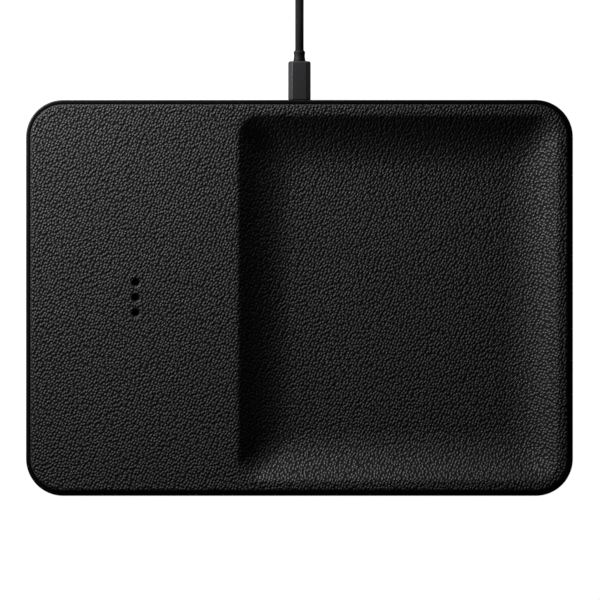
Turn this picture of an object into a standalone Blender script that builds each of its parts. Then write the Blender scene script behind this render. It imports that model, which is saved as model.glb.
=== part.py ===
"""Wireless charging pad with a leather tray beside it, and a braided USB-C cable that pulls out.

A leather-covered moulded shell sits in a slim metal frame, and a screwed base plate closes it from
below. Three charging coils lie under the flat deck on the left. The right side is pressed down into a
tray with soft S-shaped walls. +X runs towards the tray, +Y towards the cable and +Z up, and the
origin is on the table under the middle of the pad. Lengths are in metres.
"""

import math

import bmesh
import bpy
from mathutils import Matrix, Vector, geometry

MM = 0.001

# Overall sizes
PAD_LENGTH = 250.0 * MM
PAD_DEPTH = 181.0 * MM
PAD_CORNER = 17.0 * MM

# Gaps between pieces
REST_GAP = 0.3 * MM  # between pieces that lie against each other
BORE_CLEARANCE = 0.15 * MM  # round a screw
SOCKET_CLEARANCE = 0.1 * MM  # round the metal plug in its socket

# Metal frame
FRAME_WALL = 1.7 * MM
FRAME_BELOW_DECK = 1.2 * MM
FRAME_ABOVE_TABLE = 0.6 * MM
FRAME_TOP_ROUND = 0.6 * MM
FRAME_FOOT_ROUND = 1.0 * MM
FRAME_INNER_CHAMFER = 0.2 * MM
FLANGE_WIDTH = 3.8 * MM
FLANGE_THICKNESS = 1.5 * MM

# Leather cover and the moulded shell under it
LEATHER_THICKNESS = 1.3 * MM
LEATHER_BEND = 0.2 * MM  # inside radius where the leather turns down
LEATHER_TURN_DOWN = 6.3 * MM
SHELL_WALL = 1.6 * MM
SHELL_BEND = 0.4 * MM  # inside radius under the tray's lip

# Tray
TRAY_DEPTH = 10.0 * MM
TRAY_WALL_RUN = 26.0 * MM  # how far the wall slopes in, seen from above
TRAY_CORNER = 9.5 * MM
TRAY_CORNER_TIGHTENS = 0.15  # how fast the corner shrinks on the way in
TRAY_LAND = 0.6 * MM  # flat ceiling between the shell's side and the tray's wall

# Charging mark: three round dents in a row
DENT_RADIUS = 1.95 * MM
DENT_DEPTH = 1.0 * MM
DENT_PITCH = 6.9 * MM

# Base
MAT_THICKNESS = 1.2 * MM
MAT_MARGIN = 0.8 * MM  # from the frame's inner face to the mat
PLATE_THICKNESS = 1.5 * MM
UNDER_TRAY_ROOM = 1.8 * MM  # between the base plate and the tray's floor
RIB_WIDTH = 1.4 * MM
RIB_PITCH = 26.0 * MM

# Charging module, from the top down
COIL_THICKNESS = 1.2 * MM
COIL_LENGTH = 48.0 * MM
COIL_WIDTH = 45.0 * MM
COIL_BAND = 12.5 * MM
COIL_CORNER = 17.0 * MM
COIL_PITCH = 48.0 * MM
FERRITE_THICKNESS = 1.5 * MM
FERRITE_BORDER = 4.0 * MM
BRACKET_THICKNESS = 1.4 * MM
BRACKET_RIM = 1.2 * MM
BRACKET_EAR = 8.0 * MM  # from the rim to the bracket's long edges
BRACKET_SIDE_ROOM = 7.6 * MM  # from the shell's side wall to the bracket
BRACKET_TRAY_ROOM = 8.2 * MM  # from the bracket to the tray's lip
STANDOFF_HEIGHT = 1.3 * MM
BOARD_LENGTH = 50.0 * MM
BOARD_WIDTH = 84.0 * MM
BOARD_THICKNESS = 1.2 * MM
CHIP_SIZE = 8.0 * MM
CHIP_HEIGHT = 0.9 * MM
INDUCTOR_SIZE = 7.0 * MM
PART_HEIGHT = 1.9 * MM  # the tallest parts on the board
CAPACITOR_LENGTH = 6.5 * MM
CAPACITOR_WIDTH = 4.0 * MM
CONNECTOR_LENGTH = 8.0 * MM
CONNECTOR_WIDTH = 4.0 * MM
CHIP_ACROSS = 5.0 * MM  # places across the board, from its middle
INDUCTOR_ACROSS = -21.0 * MM
CAPACITOR_PITCH = 14.0 * MM
THERMISTOR_RADIUS = 0.9 * MM
THERMISTOR_HEIGHT = 1.0 * MM

# Screws and bosses
SCREW_RADIUS = 1.0 * MM
SCREW_HEAD_RADIUS = 1.9 * MM
SCREW_HEAD_HEIGHT = 1.0 * MM
SCREW_DRIVE_RADIUS = 0.8 * MM
SCREW_DRIVE_DEPTH = 0.6 * MM
BASE_SCREW_BITE = 4.5 * MM
BRACKET_SCREW_BITE = 3.2 * MM
BOARD_SCREW_BITE = 2.0 * MM
PORT_SCREW_BITE = 1.8 * MM
BORE_END = 0.3 * MM  # of empty bore past a screw's tip
BOSS_WALL = 1.45 * MM
BOSS_INSET = 11.5 * MM  # from the pad's edges to the base screws
BOSS_RIDGE = 6.0 * MM  # from the tray's lip to the middle base screws
BRACKET_SCREW_INSET = 4.0 * MM  # from the bracket's corners
BOARD_SCREW_INSET = 4.0 * MM  # from the board's corners

# USB-C plug and socket
PLUG_LENGTH = 17.8 * MM
PLUG_WIDTH = 10.4 * MM
PLUG_HEIGHT = 6.3 * MM
PLUG_CORNER = 2.4 * MM
PLUG_EDGE = 0.6 * MM
TIP_LENGTH = 6.65 * MM
TIP_WIDTH = 8.25 * MM
TIP_HEIGHT = 2.4 * MM
TIP_WALL = 0.3 * MM
SOCKET_WALL = 0.3 * MM
SOCKET_DEPTH = 7.4 * MM
SOCKET_RECESS = 0.3 * MM  # of the socket's mouth behind the frame's face
BLADE_LENGTH = 4.4 * MM
BLADE_WIDTH = 6.7 * MM
BLADE_THICKNESS = 0.7 * MM
PORT_BOARD_LENGTH = 24.0 * MM
PORT_BOARD_WIDTH = 12.0 * MM
PORT_BOARD_THICKNESS = 0.8 * MM
PORT_SCREW_SPREAD = 19.0 * MM
PORT_SCREW_INSET = 3.0 * MM  # from the port board's inner edge
RELIEF_LENGTH = 4.3 * MM
RELIEF_RADIUS = 2.75 * MM
RELIEF_END_RADIUS = 2.45 * MM

# Status light beside the socket
LIGHT_OFFSET = 9.0 * MM
LIGHT_RADIUS = 0.8 * MM
LIGHT_CLEARANCE = 0.2 * MM
LED_LENGTH = 1.6 * MM
LED_DEPTH = 0.9 * MM

# Wiring
LEAD_RADIUS = 0.6 * MM
LEAD_CLEARANCE = 0.3 * MM
LEAD_REACH = 3.0 * MM  # of a coil lead past the bracket's rim
HARNESS_RADIUS = 0.9 * MM
HARNESS_LANE = 7.0 * MM  # that the harness keeps from the base screws

# Cord
CORD_RADIUS = 1.95 * MM
CORD_SPACING = 2 * CORD_RADIUS  # between the points its tube bends at
CORD_STRAIGHT = 5.5 * MM  # how far the cord runs straight out of a plug
COIL_TURN_RADIUS = 25.0 * MM  # of the wound cord, at the middle of its turns
WOUND_WIDTH = 12.0 * MM
WOUND_HEIGHT = 15.6 * MM
WOUND_ROUND = 1.95 * MM
COIL_PLACE = Vector((25.0, 178.0)) * MM
TIE_ANGLE = math.radians(-60)
TIE_WIDTH = 9.0 * MM
TIE_THICKNESS = 0.9 * MM
TIE_CORNER = 0.6 * MM
STUD_RADIUS = 3.5 * MM
STUD_HEIGHT = 1.0 * MM
FAR_PLUG_PLACE = Vector((69.2, 180.4)) * MM
FAR_PLUG_TURN = math.radians(34)

# Detail of round shapes
CORNER_STEPS = 6
ROUND_STEPS = 32
SMALL_STEPS = 12
EDGE_STEPS = 3
LIP_STEPS = 4
FLOOR_STEPS = 8
CURVE_STEPS = 12

# Heights of the base and the frame
PLATE_BOTTOM = MAT_THICKNESS + REST_GAP
PLATE_TOP = PLATE_BOTTOM + PLATE_THICKNESS
FLANGE_BOTTOM = PLATE_TOP + REST_GAP
FLANGE_TOP = FLANGE_BOTTOM + FLANGE_THICKNESS
SHELL_BOTTOM = FLANGE_TOP + REST_GAP

# The deck is as high as the tray or the charging module needs
SKIN_DEPTH = LEATHER_THICKNESS + REST_GAP
TOP_STACK = SKIN_DEPTH + SHELL_WALL
COIL_STACK = 2 * COIL_THICKNESS + FERRITE_THICKNESS + 4 * REST_GAP
BOARD_STACK = BRACKET_THICKNESS + STANDOFF_HEIGHT + BOARD_THICKNESS + PART_HEIGHT + 3 * REST_GAP
TRAY_NEEDS = PLATE_TOP + UNDER_TRAY_ROOM + TOP_STACK + TRAY_DEPTH
MODULE_NEEDS = PLATE_TOP + BOARD_STACK + COIL_STACK + TOP_STACK
DECK = max(TRAY_NEEDS, MODULE_NEEDS)
FRAME_TOP = DECK - FRAME_BELOW_DECK

# Heights in the charging bay, from the ceiling down
CEILING = DECK - TOP_STACK
UPPER_COIL = CEILING - REST_GAP - COIL_THICKNESS
LOWER_COIL = UPPER_COIL - REST_GAP - COIL_THICKNESS
FERRITE_TOP = LOWER_COIL - REST_GAP
BRACKET_TOP = FERRITE_TOP - FERRITE_THICKNESS - REST_GAP
BRACKET_BOTTOM = BRACKET_TOP - BRACKET_THICKNESS
STANDOFF_END = BRACKET_BOTTOM - STANDOFF_HEIGHT
BOARD_TOP = STANDOFF_END - REST_GAP
BOARD_BOTTOM = BOARD_TOP - BOARD_THICKNESS

# Heights at the socket
PORT_HEIGHT = (FRAME_TOP + FRAME_ABOVE_TABLE) / 2
SOCKET_HALF = Vector((TIP_WIDTH / 2, TIP_HEIGHT / 2)) + Vector((1, 1)) * (SOCKET_CLEARANCE + SOCKET_WALL)
PORT_BOARD_TOP = PORT_HEIGHT - SOCKET_HALF.y - REST_GAP
PORT_BOARD_BOTTOM = PORT_BOARD_TOP - PORT_BOARD_THICKNESS

# Where each set of screws has its heads' seat and its tips
BASE_SEAT = PLATE_BOTTOM + SCREW_HEAD_HEIGHT
BASE_TIP = PLATE_TOP + REST_GAP + BASE_SCREW_BITE
BRACKET_SEAT = BRACKET_BOTTOM - REST_GAP
BRACKET_TIP = BRACKET_TOP + REST_GAP + BRACKET_SCREW_BITE
BOARD_SEAT = BOARD_BOTTOM - REST_GAP
BOARD_TIP = BOARD_TOP + REST_GAP + BOARD_SCREW_BITE
PORT_SEAT = PORT_BOARD_BOTTOM - REST_GAP
PORT_TIP = PORT_BOARD_TOP + REST_GAP + PORT_SCREW_BITE
BORE_RADIUS = SCREW_RADIUS + BORE_CLEARANCE
BOSS_RADIUS = BORE_RADIUS + BOSS_WALL

# Places in plan
PAD_HALF = Vector((PAD_LENGTH, PAD_DEPTH)) / 2
SKIN_INSET = FRAME_WALL + REST_GAP
SHELL_INSIDE = SKIN_INSET + TOP_STACK
TRAY_MARGIN = SHELL_INSIDE + TRAY_LAND
FERRITE_HALF = Vector((COIL_LENGTH / 2, (COIL_PITCH + COIL_WIDTH) / 2)) + Vector((1, 1)) * FERRITE_BORDER
RIM_HALF = FERRITE_HALF + Vector((1, 1)) * (REST_GAP + BRACKET_RIM)
BRACKET_HALF = RIM_HALF + Vector((BRACKET_EAR, 0))
CHARGE_X = -PAD_HALF.x + SHELL_INSIDE + BRACKET_SIDE_ROOM + BRACKET_HALF.x
CHARGE_PLACE = Vector((CHARGE_X, 0))
LIP_LEFT = CHARGE_X + BRACKET_HALF.x + BRACKET_TRAY_ROOM
LIP_RIGHT = PAD_HALF.x - TRAY_MARGIN
TRAY_PLACE = Vector(((LIP_LEFT + LIP_RIGHT) / 2, 0))
TRAY_HALF = Vector(((LIP_RIGHT - LIP_LEFT) / 2, PAD_HALF.y - TRAY_MARGIN))
BOARD_HALF = Vector((BOARD_LENGTH, BOARD_WIDTH)) / 2

# The tray's wall: an arc out of the lip, then a wider arc into the floor
LIP_RADIUS = TOP_STACK + SHELL_BEND
WALL_RADII = (TRAY_WALL_RUN ** 2 + TRAY_DEPTH ** 2) / (2 * TRAY_DEPTH)
FLOOR_RADIUS = WALL_RADII - LIP_RADIUS
WALL_SLOPE = math.asin(TRAY_WALL_RUN / WALL_RADII)

# Places and directions that several pieces share
ALONG_Y = Matrix.Rotation(math.radians(-90), 4, "X")  # what was built upwards points along +Y
UPRIGHT = Matrix.Rotation(math.radians(90), 4, "X")  # what was drawn flat stands up
PORT_AXIS = Matrix.Translation((0, 0, PORT_HEIGHT)) @ ALONG_Y
LIGHT_AXIS = Matrix.Translation((LIGHT_OFFSET, 0, PORT_HEIGHT)) @ ALONG_Y
PLUG_FACE = PAD_HALF.y + REST_GAP
PORT_BOARD_EDGE = PAD_HALF.y - SKIN_INSET - SHELL_WALL - REST_GAP
FAR_PLUG_SPOT = Matrix.Translation((*FAR_PLUG_PLACE, PLUG_HEIGHT / 2))
FAR_PLUG_FRAME = FAR_PLUG_SPOT @ Matrix.Rotation(FAR_PLUG_TURN, 4, "Z")
GAP_ROUND = Vector((REST_GAP, REST_GAP))
LEAD_X = CHARGE_X - RIM_HALF.x - LEAD_REACH
LEAD_PLACES = (COIL_PITCH / 2, 0, -COIL_PITCH / 2)


def four_corners(half, inset, centre_x=0):
    """The corners of a rectangle, moved in from its edges."""
    sides = ((1, 1), (-1, 1), (-1, -1), (1, -1))
    return [(centre_x + x * (half.x - inset), y * (half.y - inset)) for x, y in sides]


RIDGE_SCREWS = [(LIP_LEFT - BOSS_RIDGE, side * (PAD_HALF.y - BOSS_INSET)) for side in (1, -1)]
BASE_SCREWS = four_corners(PAD_HALF, BOSS_INSET) + RIDGE_SCREWS
BRACKET_SCREWS = four_corners(BRACKET_HALF, BRACKET_SCREW_INSET, CHARGE_X)
BOARD_SCREWS = four_corners(BOARD_HALF, BOARD_SCREW_INSET, CHARGE_X)[::2]
PORT_ROW = PORT_BOARD_EDGE - PORT_BOARD_WIDTH + PORT_SCREW_INSET
PORT_SCREWS = [(side * PORT_SCREW_SPREAD / 2, PORT_ROW) for side in (-1, 1)]

# Points the loose cord lies through, in millimetres: out of the plug, and off the coil to the far plug
CORD_ROUTE = [
    (0.0, 125.0, 7.9),
    (0.0, 132.0, 5.2),
    (0.0, 139.0, 2.7),
    (0.0, 146.0, 1.95),
    (0.0, 151.0, 1.95),
    (0.0, 156.5, 1.95),
]
TAIL_ROUTE = [
    (-7.4, 187.0, 11.5),
    (-4.7, 193.6, 9.8),
    (-0.7, 199.7, 8.0),
    (10.8, 208.5, 4.6),
    (23.8, 212.0, 2.4),
    (38.0, 212.0, 1.95),
    (46.8, 209.8, 1.95),
]

FINISHES = {
    # finish: (red, green, blue, roughness, metallic)
    "leather": (0.020, 0.020, 0.021, 0.45, 0.0),
    "moulded plastic": (0.030, 0.030, 0.032, 0.55, 0.0),
    "silicone": (0.026, 0.026, 0.028, 0.75, 0.0),
    "black anodised metal": (0.035, 0.035, 0.038, 0.35, 1.0),
    "steel": (0.55, 0.55, 0.56, 0.3, 1.0),
    "copper wire": (0.72, 0.35, 0.18, 0.35, 1.0),
    "ferrite": (0.07, 0.07, 0.075, 0.6, 0.0),
    "circuit board": (0.02, 0.10, 0.05, 0.45, 0.0),
    "chip resin": (0.02, 0.02, 0.02, 0.5, 0.0),
    "capacitor foil": (0.45, 0.33, 0.16, 0.4, 0.0),
    "white nylon": (0.70, 0.69, 0.64, 0.45, 0.0),
    "clear acrylic": (0.75, 0.78, 0.80, 0.15, 0.0),
    "braid": (0.018, 0.018, 0.019, 0.7, 0.0),
}


def new_collection(name):
    """A collection linked to the scene."""
    collection = bpy.data.collections.new(name)
    bpy.context.scene.collection.children.link(collection)
    return collection


for old in list(bpy.data.objects):
    bpy.data.objects.remove(old, do_unlink=True)
PIECES = new_collection("wireless_charging_pad")
CUTTERS = new_collection("cutters")


def finish(piece, finish_name, smooth_angle=None):
    """Put a piece in the model with a material of its own, shaded smooth up to an angle."""
    PIECES.objects.link(piece)
    red, green, blue, roughness, metallic = FINISHES[finish_name]
    material = bpy.data.materials.new(piece.name + "." + finish_name)
    material.use_nodes = True
    shader = material.node_tree.nodes["Principled BSDF"]
    shader.inputs["Base Color"].default_value = (red, green, blue, 1)
    shader.inputs["Roughness"].default_value = roughness
    shader.inputs["Metallic"].default_value = metallic
    piece.data.materials.append(material)
    if smooth_angle:
        piece.data.shade_smooth()
        piece.data.set_sharp_from_angle(angle=math.radians(smooth_angle))
    return piece


def apply_tool(piece, tool, operation="DIFFERENCE"):
    """Cut, join or intersect a piece with a helper shape."""
    if tool.name not in CUTTERS.objects:
        CUTTERS.objects.link(tool)
        tool.hide_render = True
        tool.display_type = "WIRE"
    modifier = piece.modifiers.new(operation.title() + " " + tool.name, "BOOLEAN")
    modifier.operation = operation
    modifier.solver = "EXACT"
    modifier.object = tool


def bevel(piece, width, segments=2, angle=40):
    """Round the sharp edges of a piece."""
    modifier = piece.modifiers.new("Rounded edges", "BEVEL")
    modifier.width = width
    modifier.segments = segments
    modifier.limit_method = "ANGLE"
    modifier.angle_limit = math.radians(angle)


def rounded_outline(half, corner, centre=Vector((0, 0)), steps=CORNER_STEPS):
    """Points of a rounded rectangle, anticlockwise from its right side."""
    points = []
    for quarter, (side_x, side_y) in enumerate(((1, 1), (-1, 1), (-1, -1), (1, -1))):
        middle = centre + Vector((side_x * (half.x - corner), side_y * (half.y - corner)))
        for step in range(steps + 1):
            angle = math.radians(90) * (quarter + step / steps)
            points.append(middle + corner * Vector((math.cos(angle), math.sin(angle))))
    return points


def slab(name, outlines, low, high, place=Matrix.Identity(4)):
    """A flat solid between two heights. A second outline is a hole through it."""
    curve = bpy.data.curves.new(name, "CURVE")
    curve.dimensions = "2D"
    curve.fill_mode = "BOTH"
    curve.extrude = (high - low) / 2
    for outline in outlines:
        distinct = [p for p, q in zip(outline, outline[1:] + outline[:1]) if (p - q).length > 1e-7]
        spline = curve.splines.new("POLY")
        spline.points.add(len(distinct) - 1)
        spline.use_cyclic_u = True
        for spline_point, point in zip(spline.points, distinct):
            spline_point.co = (point.x, point.y, 0, 1)
    pattern = bpy.data.objects.new(name + " outline", curve)
    bpy.context.scene.collection.objects.link(pattern)
    evaluated = pattern.evaluated_get(bpy.context.evaluated_depsgraph_get())
    mesh = bpy.data.meshes.new_from_object(evaluated)
    mesh.name = name
    bpy.data.objects.remove(pattern)
    bpy.data.curves.remove(curve)
    welded = bmesh.new()
    welded.from_mesh(mesh)
    bmesh.ops.remove_doubles(welded, verts=welded.verts, dist=1e-7)
    welded.to_mesh(mesh)
    welded.free()
    mesh.transform(place @ Matrix.Translation((0, 0, (low + high) / 2)))
    return bpy.data.objects.new(name, mesh)


def pegs(name, places, radius, low, high, steps=SMALL_STEPS, end_radius=None, turn=Matrix.Identity(4)):
    """Round pegs that stand at several places, as one helper shape or one piece."""
    shape = bmesh.new()
    for place in places:
        middle = turn @ Matrix.Translation((place[0], place[1], (low + high) / 2))
        bmesh.ops.create_cone(
            shape, cap_ends=True, segments=steps, radius1=radius,
            radius2=radius if end_radius is None else end_radius, depth=high - low, matrix=middle)
    mesh = bpy.data.meshes.new(name)
    shape.to_mesh(mesh)
    shape.free()
    return bpy.data.objects.new(name, mesh)


def turned(name, profile, steps=SMALL_STEPS, closed=False):
    """A turned solid from (radius, height) points that run down its outer side."""
    shape = bmesh.new()
    corners = [shape.verts.new((radius, 0, height)) for radius, height in profile]
    for start, end in zip(corners, corners[1:]):
        shape.edges.new((start, end))
    if closed:
        shape.edges.new((corners[-1], corners[0]))
    mesh = bpy.data.meshes.new(name)
    shape.to_mesh(mesh)
    shape.free()
    piece = bpy.data.objects.new(name, mesh)
    modifier = piece.modifiers.new("Turn", "SCREW")
    modifier.steps = steps
    modifier.render_steps = steps
    modifier.use_merge_vertices = True
    modifier.merge_threshold = 1e-6
    return piece


def loft(name, rings, closed=False, floor=False, underside=False):
    """A skin over outlines with equal numbers of points: a closed loop, or open with caps."""
    shape = bmesh.new()
    rows = [[shape.verts.new(point) for point in ring] for ring in rings]
    after_each = rows[1:] + (rows[:1] if closed else [])
    for row, after in zip(rows, after_each):
        for side in range(len(row)):
            beside = (side + 1) % len(row)
            shape.faces.new((row[side], row[beside], after[beside], after[side]))
    if floor:
        shape.faces.new(rows[-1])
    if underside:
        shape.faces.new(list(reversed(rows[0])))
    mesh = bpy.data.meshes.new(name)
    shape.to_mesh(mesh)
    shape.free()
    return bpy.data.objects.new(name, mesh)


def smooth_route(points, spacing):
    """Evenly spaced points on one smooth curve through the given ones."""
    points = [Vector(point) for point in points]
    ends = [2 * points[0] - points[1]] + points + [2 * points[-1] - points[-2]]
    fine = []
    for before, start, end, after in zip(ends, ends[1:], ends[2:], ends[3:]):
        lean_out = start + (end - before) / 6
        lean_in = end - (after - start) / 6
        fine += geometry.interpolate_bezier(start, lean_out, lean_in, end, CURVE_STEPS)[:-1]
    fine.append(points[-1])
    travelled = [0]
    for start, end in zip(fine, fine[1:]):
        travelled.append(travelled[-1] + (end - start).length)
    count = max(2, round(travelled[-1] / spacing))
    route = []
    for number in range(count + 1):
        wanted = travelled[-1] * number / count
        leg = max(1, next((i for i, far in enumerate(travelled) if far >= wanted - 1e-9), len(fine) - 1))
        share = (wanted - travelled[leg - 1]) / (travelled[leg] - travelled[leg - 1])
        route.append(fine[leg - 1].lerp(fine[leg], share))
    return route


def tube(name, route, radius, finish_name):
    """A round wire or cord along a list of points, resting on the table where it reaches it."""
    curve = bpy.data.curves.new(name, "CURVE")
    curve.dimensions = "3D"
    curve.bevel_depth = radius
    curve.bevel_resolution = 2
    curve.use_fill_caps = True
    spline = curve.splines.new("POLY")
    spline.points.add(len(route) - 1)
    for spline_point, point in zip(spline.points, route):
        spline_point.co = (point[0], point[1], max(point[2], radius), 1)
    piece = bpy.data.objects.new(name, curve)
    return finish(piece, finish_name)


def pad_ring(inset, height):
    """The pad's outline, moved in and set at a height."""
    half = PAD_HALF - Vector((1, 1)) * inset
    return [(p.x, p.y, height) for p in rounded_outline(half, PAD_CORNER - inset)]


def arc(start, end, steps):
    """Angles from start to end in degrees, both included."""
    return [math.radians(start + (end - start) * step / steps) for step in range(steps + 1)]


def tray_rings(sunk):
    """Outlines down the tray's wall, sunk along the surface's normal."""
    slope = math.degrees(WALL_SLOPE)
    stations = []
    for tilt in arc(0, slope, LIP_STEPS):
        stations.append((LIP_RADIUS * math.sin(tilt), LIP_RADIUS * (1 - math.cos(tilt)), tilt))
    for tilt in arc(slope, 0, FLOOR_STEPS)[1:]:
        run = TRAY_WALL_RUN - FLOOR_RADIUS * math.sin(tilt)
        stations.append((run, TRAY_DEPTH - FLOOR_RADIUS * (1 - math.cos(tilt)), tilt))
    rings = []
    for run, drop, tilt in stations:
        outward = sunk * math.sin(tilt)
        half = TRAY_HALF + Vector((1, 1)) * (outward - run)
        corner = TRAY_CORNER - TRAY_CORNER_TIGHTENS * run + outward
        height = DECK - drop - sunk * math.cos(tilt)
        rings.append([(p.x, p.y, height) for p in rounded_outline(half, corner, TRAY_PLACE)])
    return rings


def make_frame():
    """The metal frame: a slim wall with a flange inside that carries the shell."""
    section = []
    for angle in arc(-90, 0, EDGE_STEPS):
        foot = FRAME_FOOT_ROUND
        section.append((foot * (1 - math.cos(angle)), FRAME_ABOVE_TABLE + foot * (1 + math.sin(angle))))
    for angle in arc(0, 90, EDGE_STEPS):
        top = FRAME_TOP_ROUND
        section.append((top * (1 - math.cos(angle)), FRAME_TOP - top * (1 - math.sin(angle))))
    section += [
        (FRAME_WALL - FRAME_INNER_CHAMFER, FRAME_TOP),
        (FRAME_WALL, FRAME_TOP - FRAME_INNER_CHAMFER),
        (FRAME_WALL, FLANGE_TOP),
        (FRAME_WALL + FLANGE_WIDTH, FLANGE_TOP),
        (FRAME_WALL + FLANGE_WIDTH, FLANGE_BOTTOM),
        (FRAME_WALL, FLANGE_BOTTOM),
        (FRAME_WALL, FRAME_ABOVE_TABLE),
    ]
    frame = loft("metal_frame", [pad_ring(inset, height) for inset, height in section], closed=True)
    apply_tool(frame, SOCKET_SLOT)
    apply_tool(frame, LIGHT_BORE)
    finish(frame, "black anodised metal", 35)


def make_leather_cover():
    """The leather: over the deck, round its edge and down into the tray in one skin."""
    edge_radius = LEATHER_THICKNESS + LEATHER_BEND
    rings = [pad_ring(SKIN_INSET, DECK - LEATHER_TURN_DOWN)]
    for angle in arc(0, 90, EDGE_STEPS):
        inset = SKIN_INSET + edge_radius * (1 - math.cos(angle))
        rings.append(pad_ring(inset, DECK - edge_radius * (1 - math.sin(angle))))
    cover = loft("leather_cover", rings + tray_rings(0), floor=True)
    add_thickness(cover, LEATHER_THICKNESS)
    dents = [(CHARGE_X, DENT_PITCH * row) for row in (-1, 0, 1)]
    apply_tool(cover, pegs("dents", dents, DENT_RADIUS, DECK - DENT_DEPTH, DECK + DENT_DEPTH, 16))
    finish(cover, "leather", 35)


def add_thickness(skin, thickness):
    """Give an open skin its wall, on its inner side."""
    modifier = skin.modifiers.new("Wall", "SOLIDIFY")
    modifier.thickness = thickness
    modifier.offset = -1
    modifier.use_even_offset = True


def make_top_shell():
    """The moulded shell that the leather is glued to, with the bosses under it."""
    inner_edge = SKIN_INSET + SKIN_DEPTH
    ledge = DECK - LEATHER_TURN_DOWN - REST_GAP
    rings = [
        pad_ring(SKIN_INSET, SHELL_BOTTOM),
        pad_ring(SKIN_INSET, ledge),
        pad_ring(inner_edge, ledge),
        pad_ring(inner_edge, DECK - SKIN_DEPTH),
    ]
    shell = loft("top_shell", rings + tray_rings(SKIN_DEPTH), floor=True)
    add_thickness(shell, SHELL_WALL)
    apply_tool(shell, make_bosses(), "UNION")
    groups = (
        ("base screw bores", BASE_SCREWS, PLATE_TOP, BASE_TIP),
        ("bracket screw bores", BRACKET_SCREWS, BRACKET_TOP, BRACKET_TIP),
        ("port screw bores", PORT_SCREWS, PORT_BOARD_TOP, PORT_TIP),
    )
    for name, places, low, tip in groups:
        apply_tool(shell, pegs(name, places, BORE_RADIUS, low, tip + BORE_END))
    apply_tool(shell, SOCKET_SLOT)
    apply_tool(shell, LIGHT_BORE)
    finish(shell, "moulded plastic", 35)


def make_bosses():
    """Screw bosses, their tops trimmed to end inside the shell's wall."""
    middle = SKIN_DEPTH + SHELL_WALL / 2
    rings = [pad_ring(SKIN_INSET + middle, 0), pad_ring(SKIN_INSET + middle, DECK - middle)]
    trim = loft("boss trim", rings + tray_rings(middle), floor=True, underside=True)
    bosses = pegs("bosses", BASE_SCREWS, BOSS_RADIUS, FLANGE_BOTTOM, DECK)
    bracket_end = BRACKET_TOP + REST_GAP
    apply_tool(bosses, pegs("bracket bosses", BRACKET_SCREWS, BOSS_RADIUS, bracket_end, DECK), "UNION")
    port_end = PORT_BOARD_TOP + REST_GAP
    apply_tool(bosses, pegs("port bosses", PORT_SCREWS, BOSS_RADIUS, port_end, DECK), "UNION")
    apply_tool(bosses, trim, "INTERSECT")
    return bosses


def make_base():
    """The non-slip mat and the ribbed plate that close the pad from below."""
    inset = Vector((1, 1)) * (FRAME_WALL + MAT_MARGIN)
    outline = rounded_outline(PAD_HALF - inset, PAD_CORNER - inset.x)
    mat = slab("base_mat", [outline], 0, MAT_THICKNESS)
    bevel(mat, MAT_THICKNESS / 3)
    finish(mat, "silicone", 35)

    inset = Vector((1, 1)) * SKIN_INSET
    outline = rounded_outline(PAD_HALF - inset, PAD_CORNER - inset.x)
    plate = slab("base_plate", [outline], PLATE_BOTTOM, PLATE_TOP)
    rib_top = PLATE_TOP + UNDER_TRAY_ROOM - REST_GAP
    floor_half = TRAY_HALF - Vector((1, 1)) * TRAY_WALL_RUN
    for number in (-1, 0, 1):
        rib_half = Vector((RIB_WIDTH / 2, floor_half.y))
        centre = TRAY_PLACE + Vector((number * RIB_PITCH, 0))
        rib_outline = rounded_outline(rib_half, RIB_WIDTH / 4, centre, steps=1)
        rib = slab(f"rib {number + 2}", [rib_outline], PLATE_BOTTOM + REST_GAP, rib_top)
        apply_tool(plate, rib, "UNION")
    head_radius = SCREW_HEAD_RADIUS + BORE_CLEARANCE
    apply_tool(plate, pegs("head pockets", BASE_SCREWS, head_radius, 0, BASE_SEAT + BORE_CLEARANCE))
    apply_tool(plate, pegs("plate bores", BASE_SCREWS, BORE_RADIUS, 0, FLANGE_TOP))
    finish(plate, "moulded plastic", 35)


def make_screws(name, places, seat, tip):
    """Pan-head screws that point up, their heads under the seat."""
    head = seat - SCREW_HEAD_HEIGHT
    profile = [
        (0, tip),
        (SCREW_RADIUS, tip),
        (SCREW_RADIUS, seat),
        (SCREW_HEAD_RADIUS, seat),
        (SCREW_HEAD_RADIUS, head),
        (SCREW_DRIVE_RADIUS, head),
        (SCREW_DRIVE_RADIUS, head + SCREW_DRIVE_DEPTH),
        (0, head + SCREW_DRIVE_DEPTH),
    ]
    for number, place in enumerate(places, 1):
        screw = turned(f"{name}_{number}", profile)
        screw.location = (place[0], place[1], 0)
        finish(screw, "steel", 35)


def make_charging_coils():
    """Two flat coils side by side and a third across them, on a sheet of ferrite."""
    coils = (
        ("charging_coil_back", COIL_PITCH / 2, LOWER_COIL),
        ("charging_coil_front", -COIL_PITCH / 2, LOWER_COIL),
        ("charging_coil_middle", 0, UPPER_COIL),
    )
    half = Vector((COIL_LENGTH, COIL_WIDTH)) / 2
    for name, across, low in coils:
        centre = CHARGE_PLACE + Vector((0, across))
        outer = rounded_outline(half, COIL_CORNER, centre)
        inner = rounded_outline(half - Vector((1, 1)) * COIL_BAND, COIL_CORNER - COIL_BAND, centre)
        finish(slab(name, [outer, inner], low, low + COIL_THICKNESS), "copper wire")
    sheet = rounded_outline(FERRITE_HALF, FERRITE_BORDER, CHARGE_PLACE, steps=3)
    finish(slab("ferrite_sheet", [sheet], FERRITE_TOP - FERRITE_THICKNESS, FERRITE_TOP), "ferrite")
    sensor_top = LOWER_COIL + THERMISTOR_HEIGHT
    finish(pegs("thermistor", [CHARGE_PLACE], THERMISTOR_RADIUS, LOWER_COIL, sensor_top), "chip resin")


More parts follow.
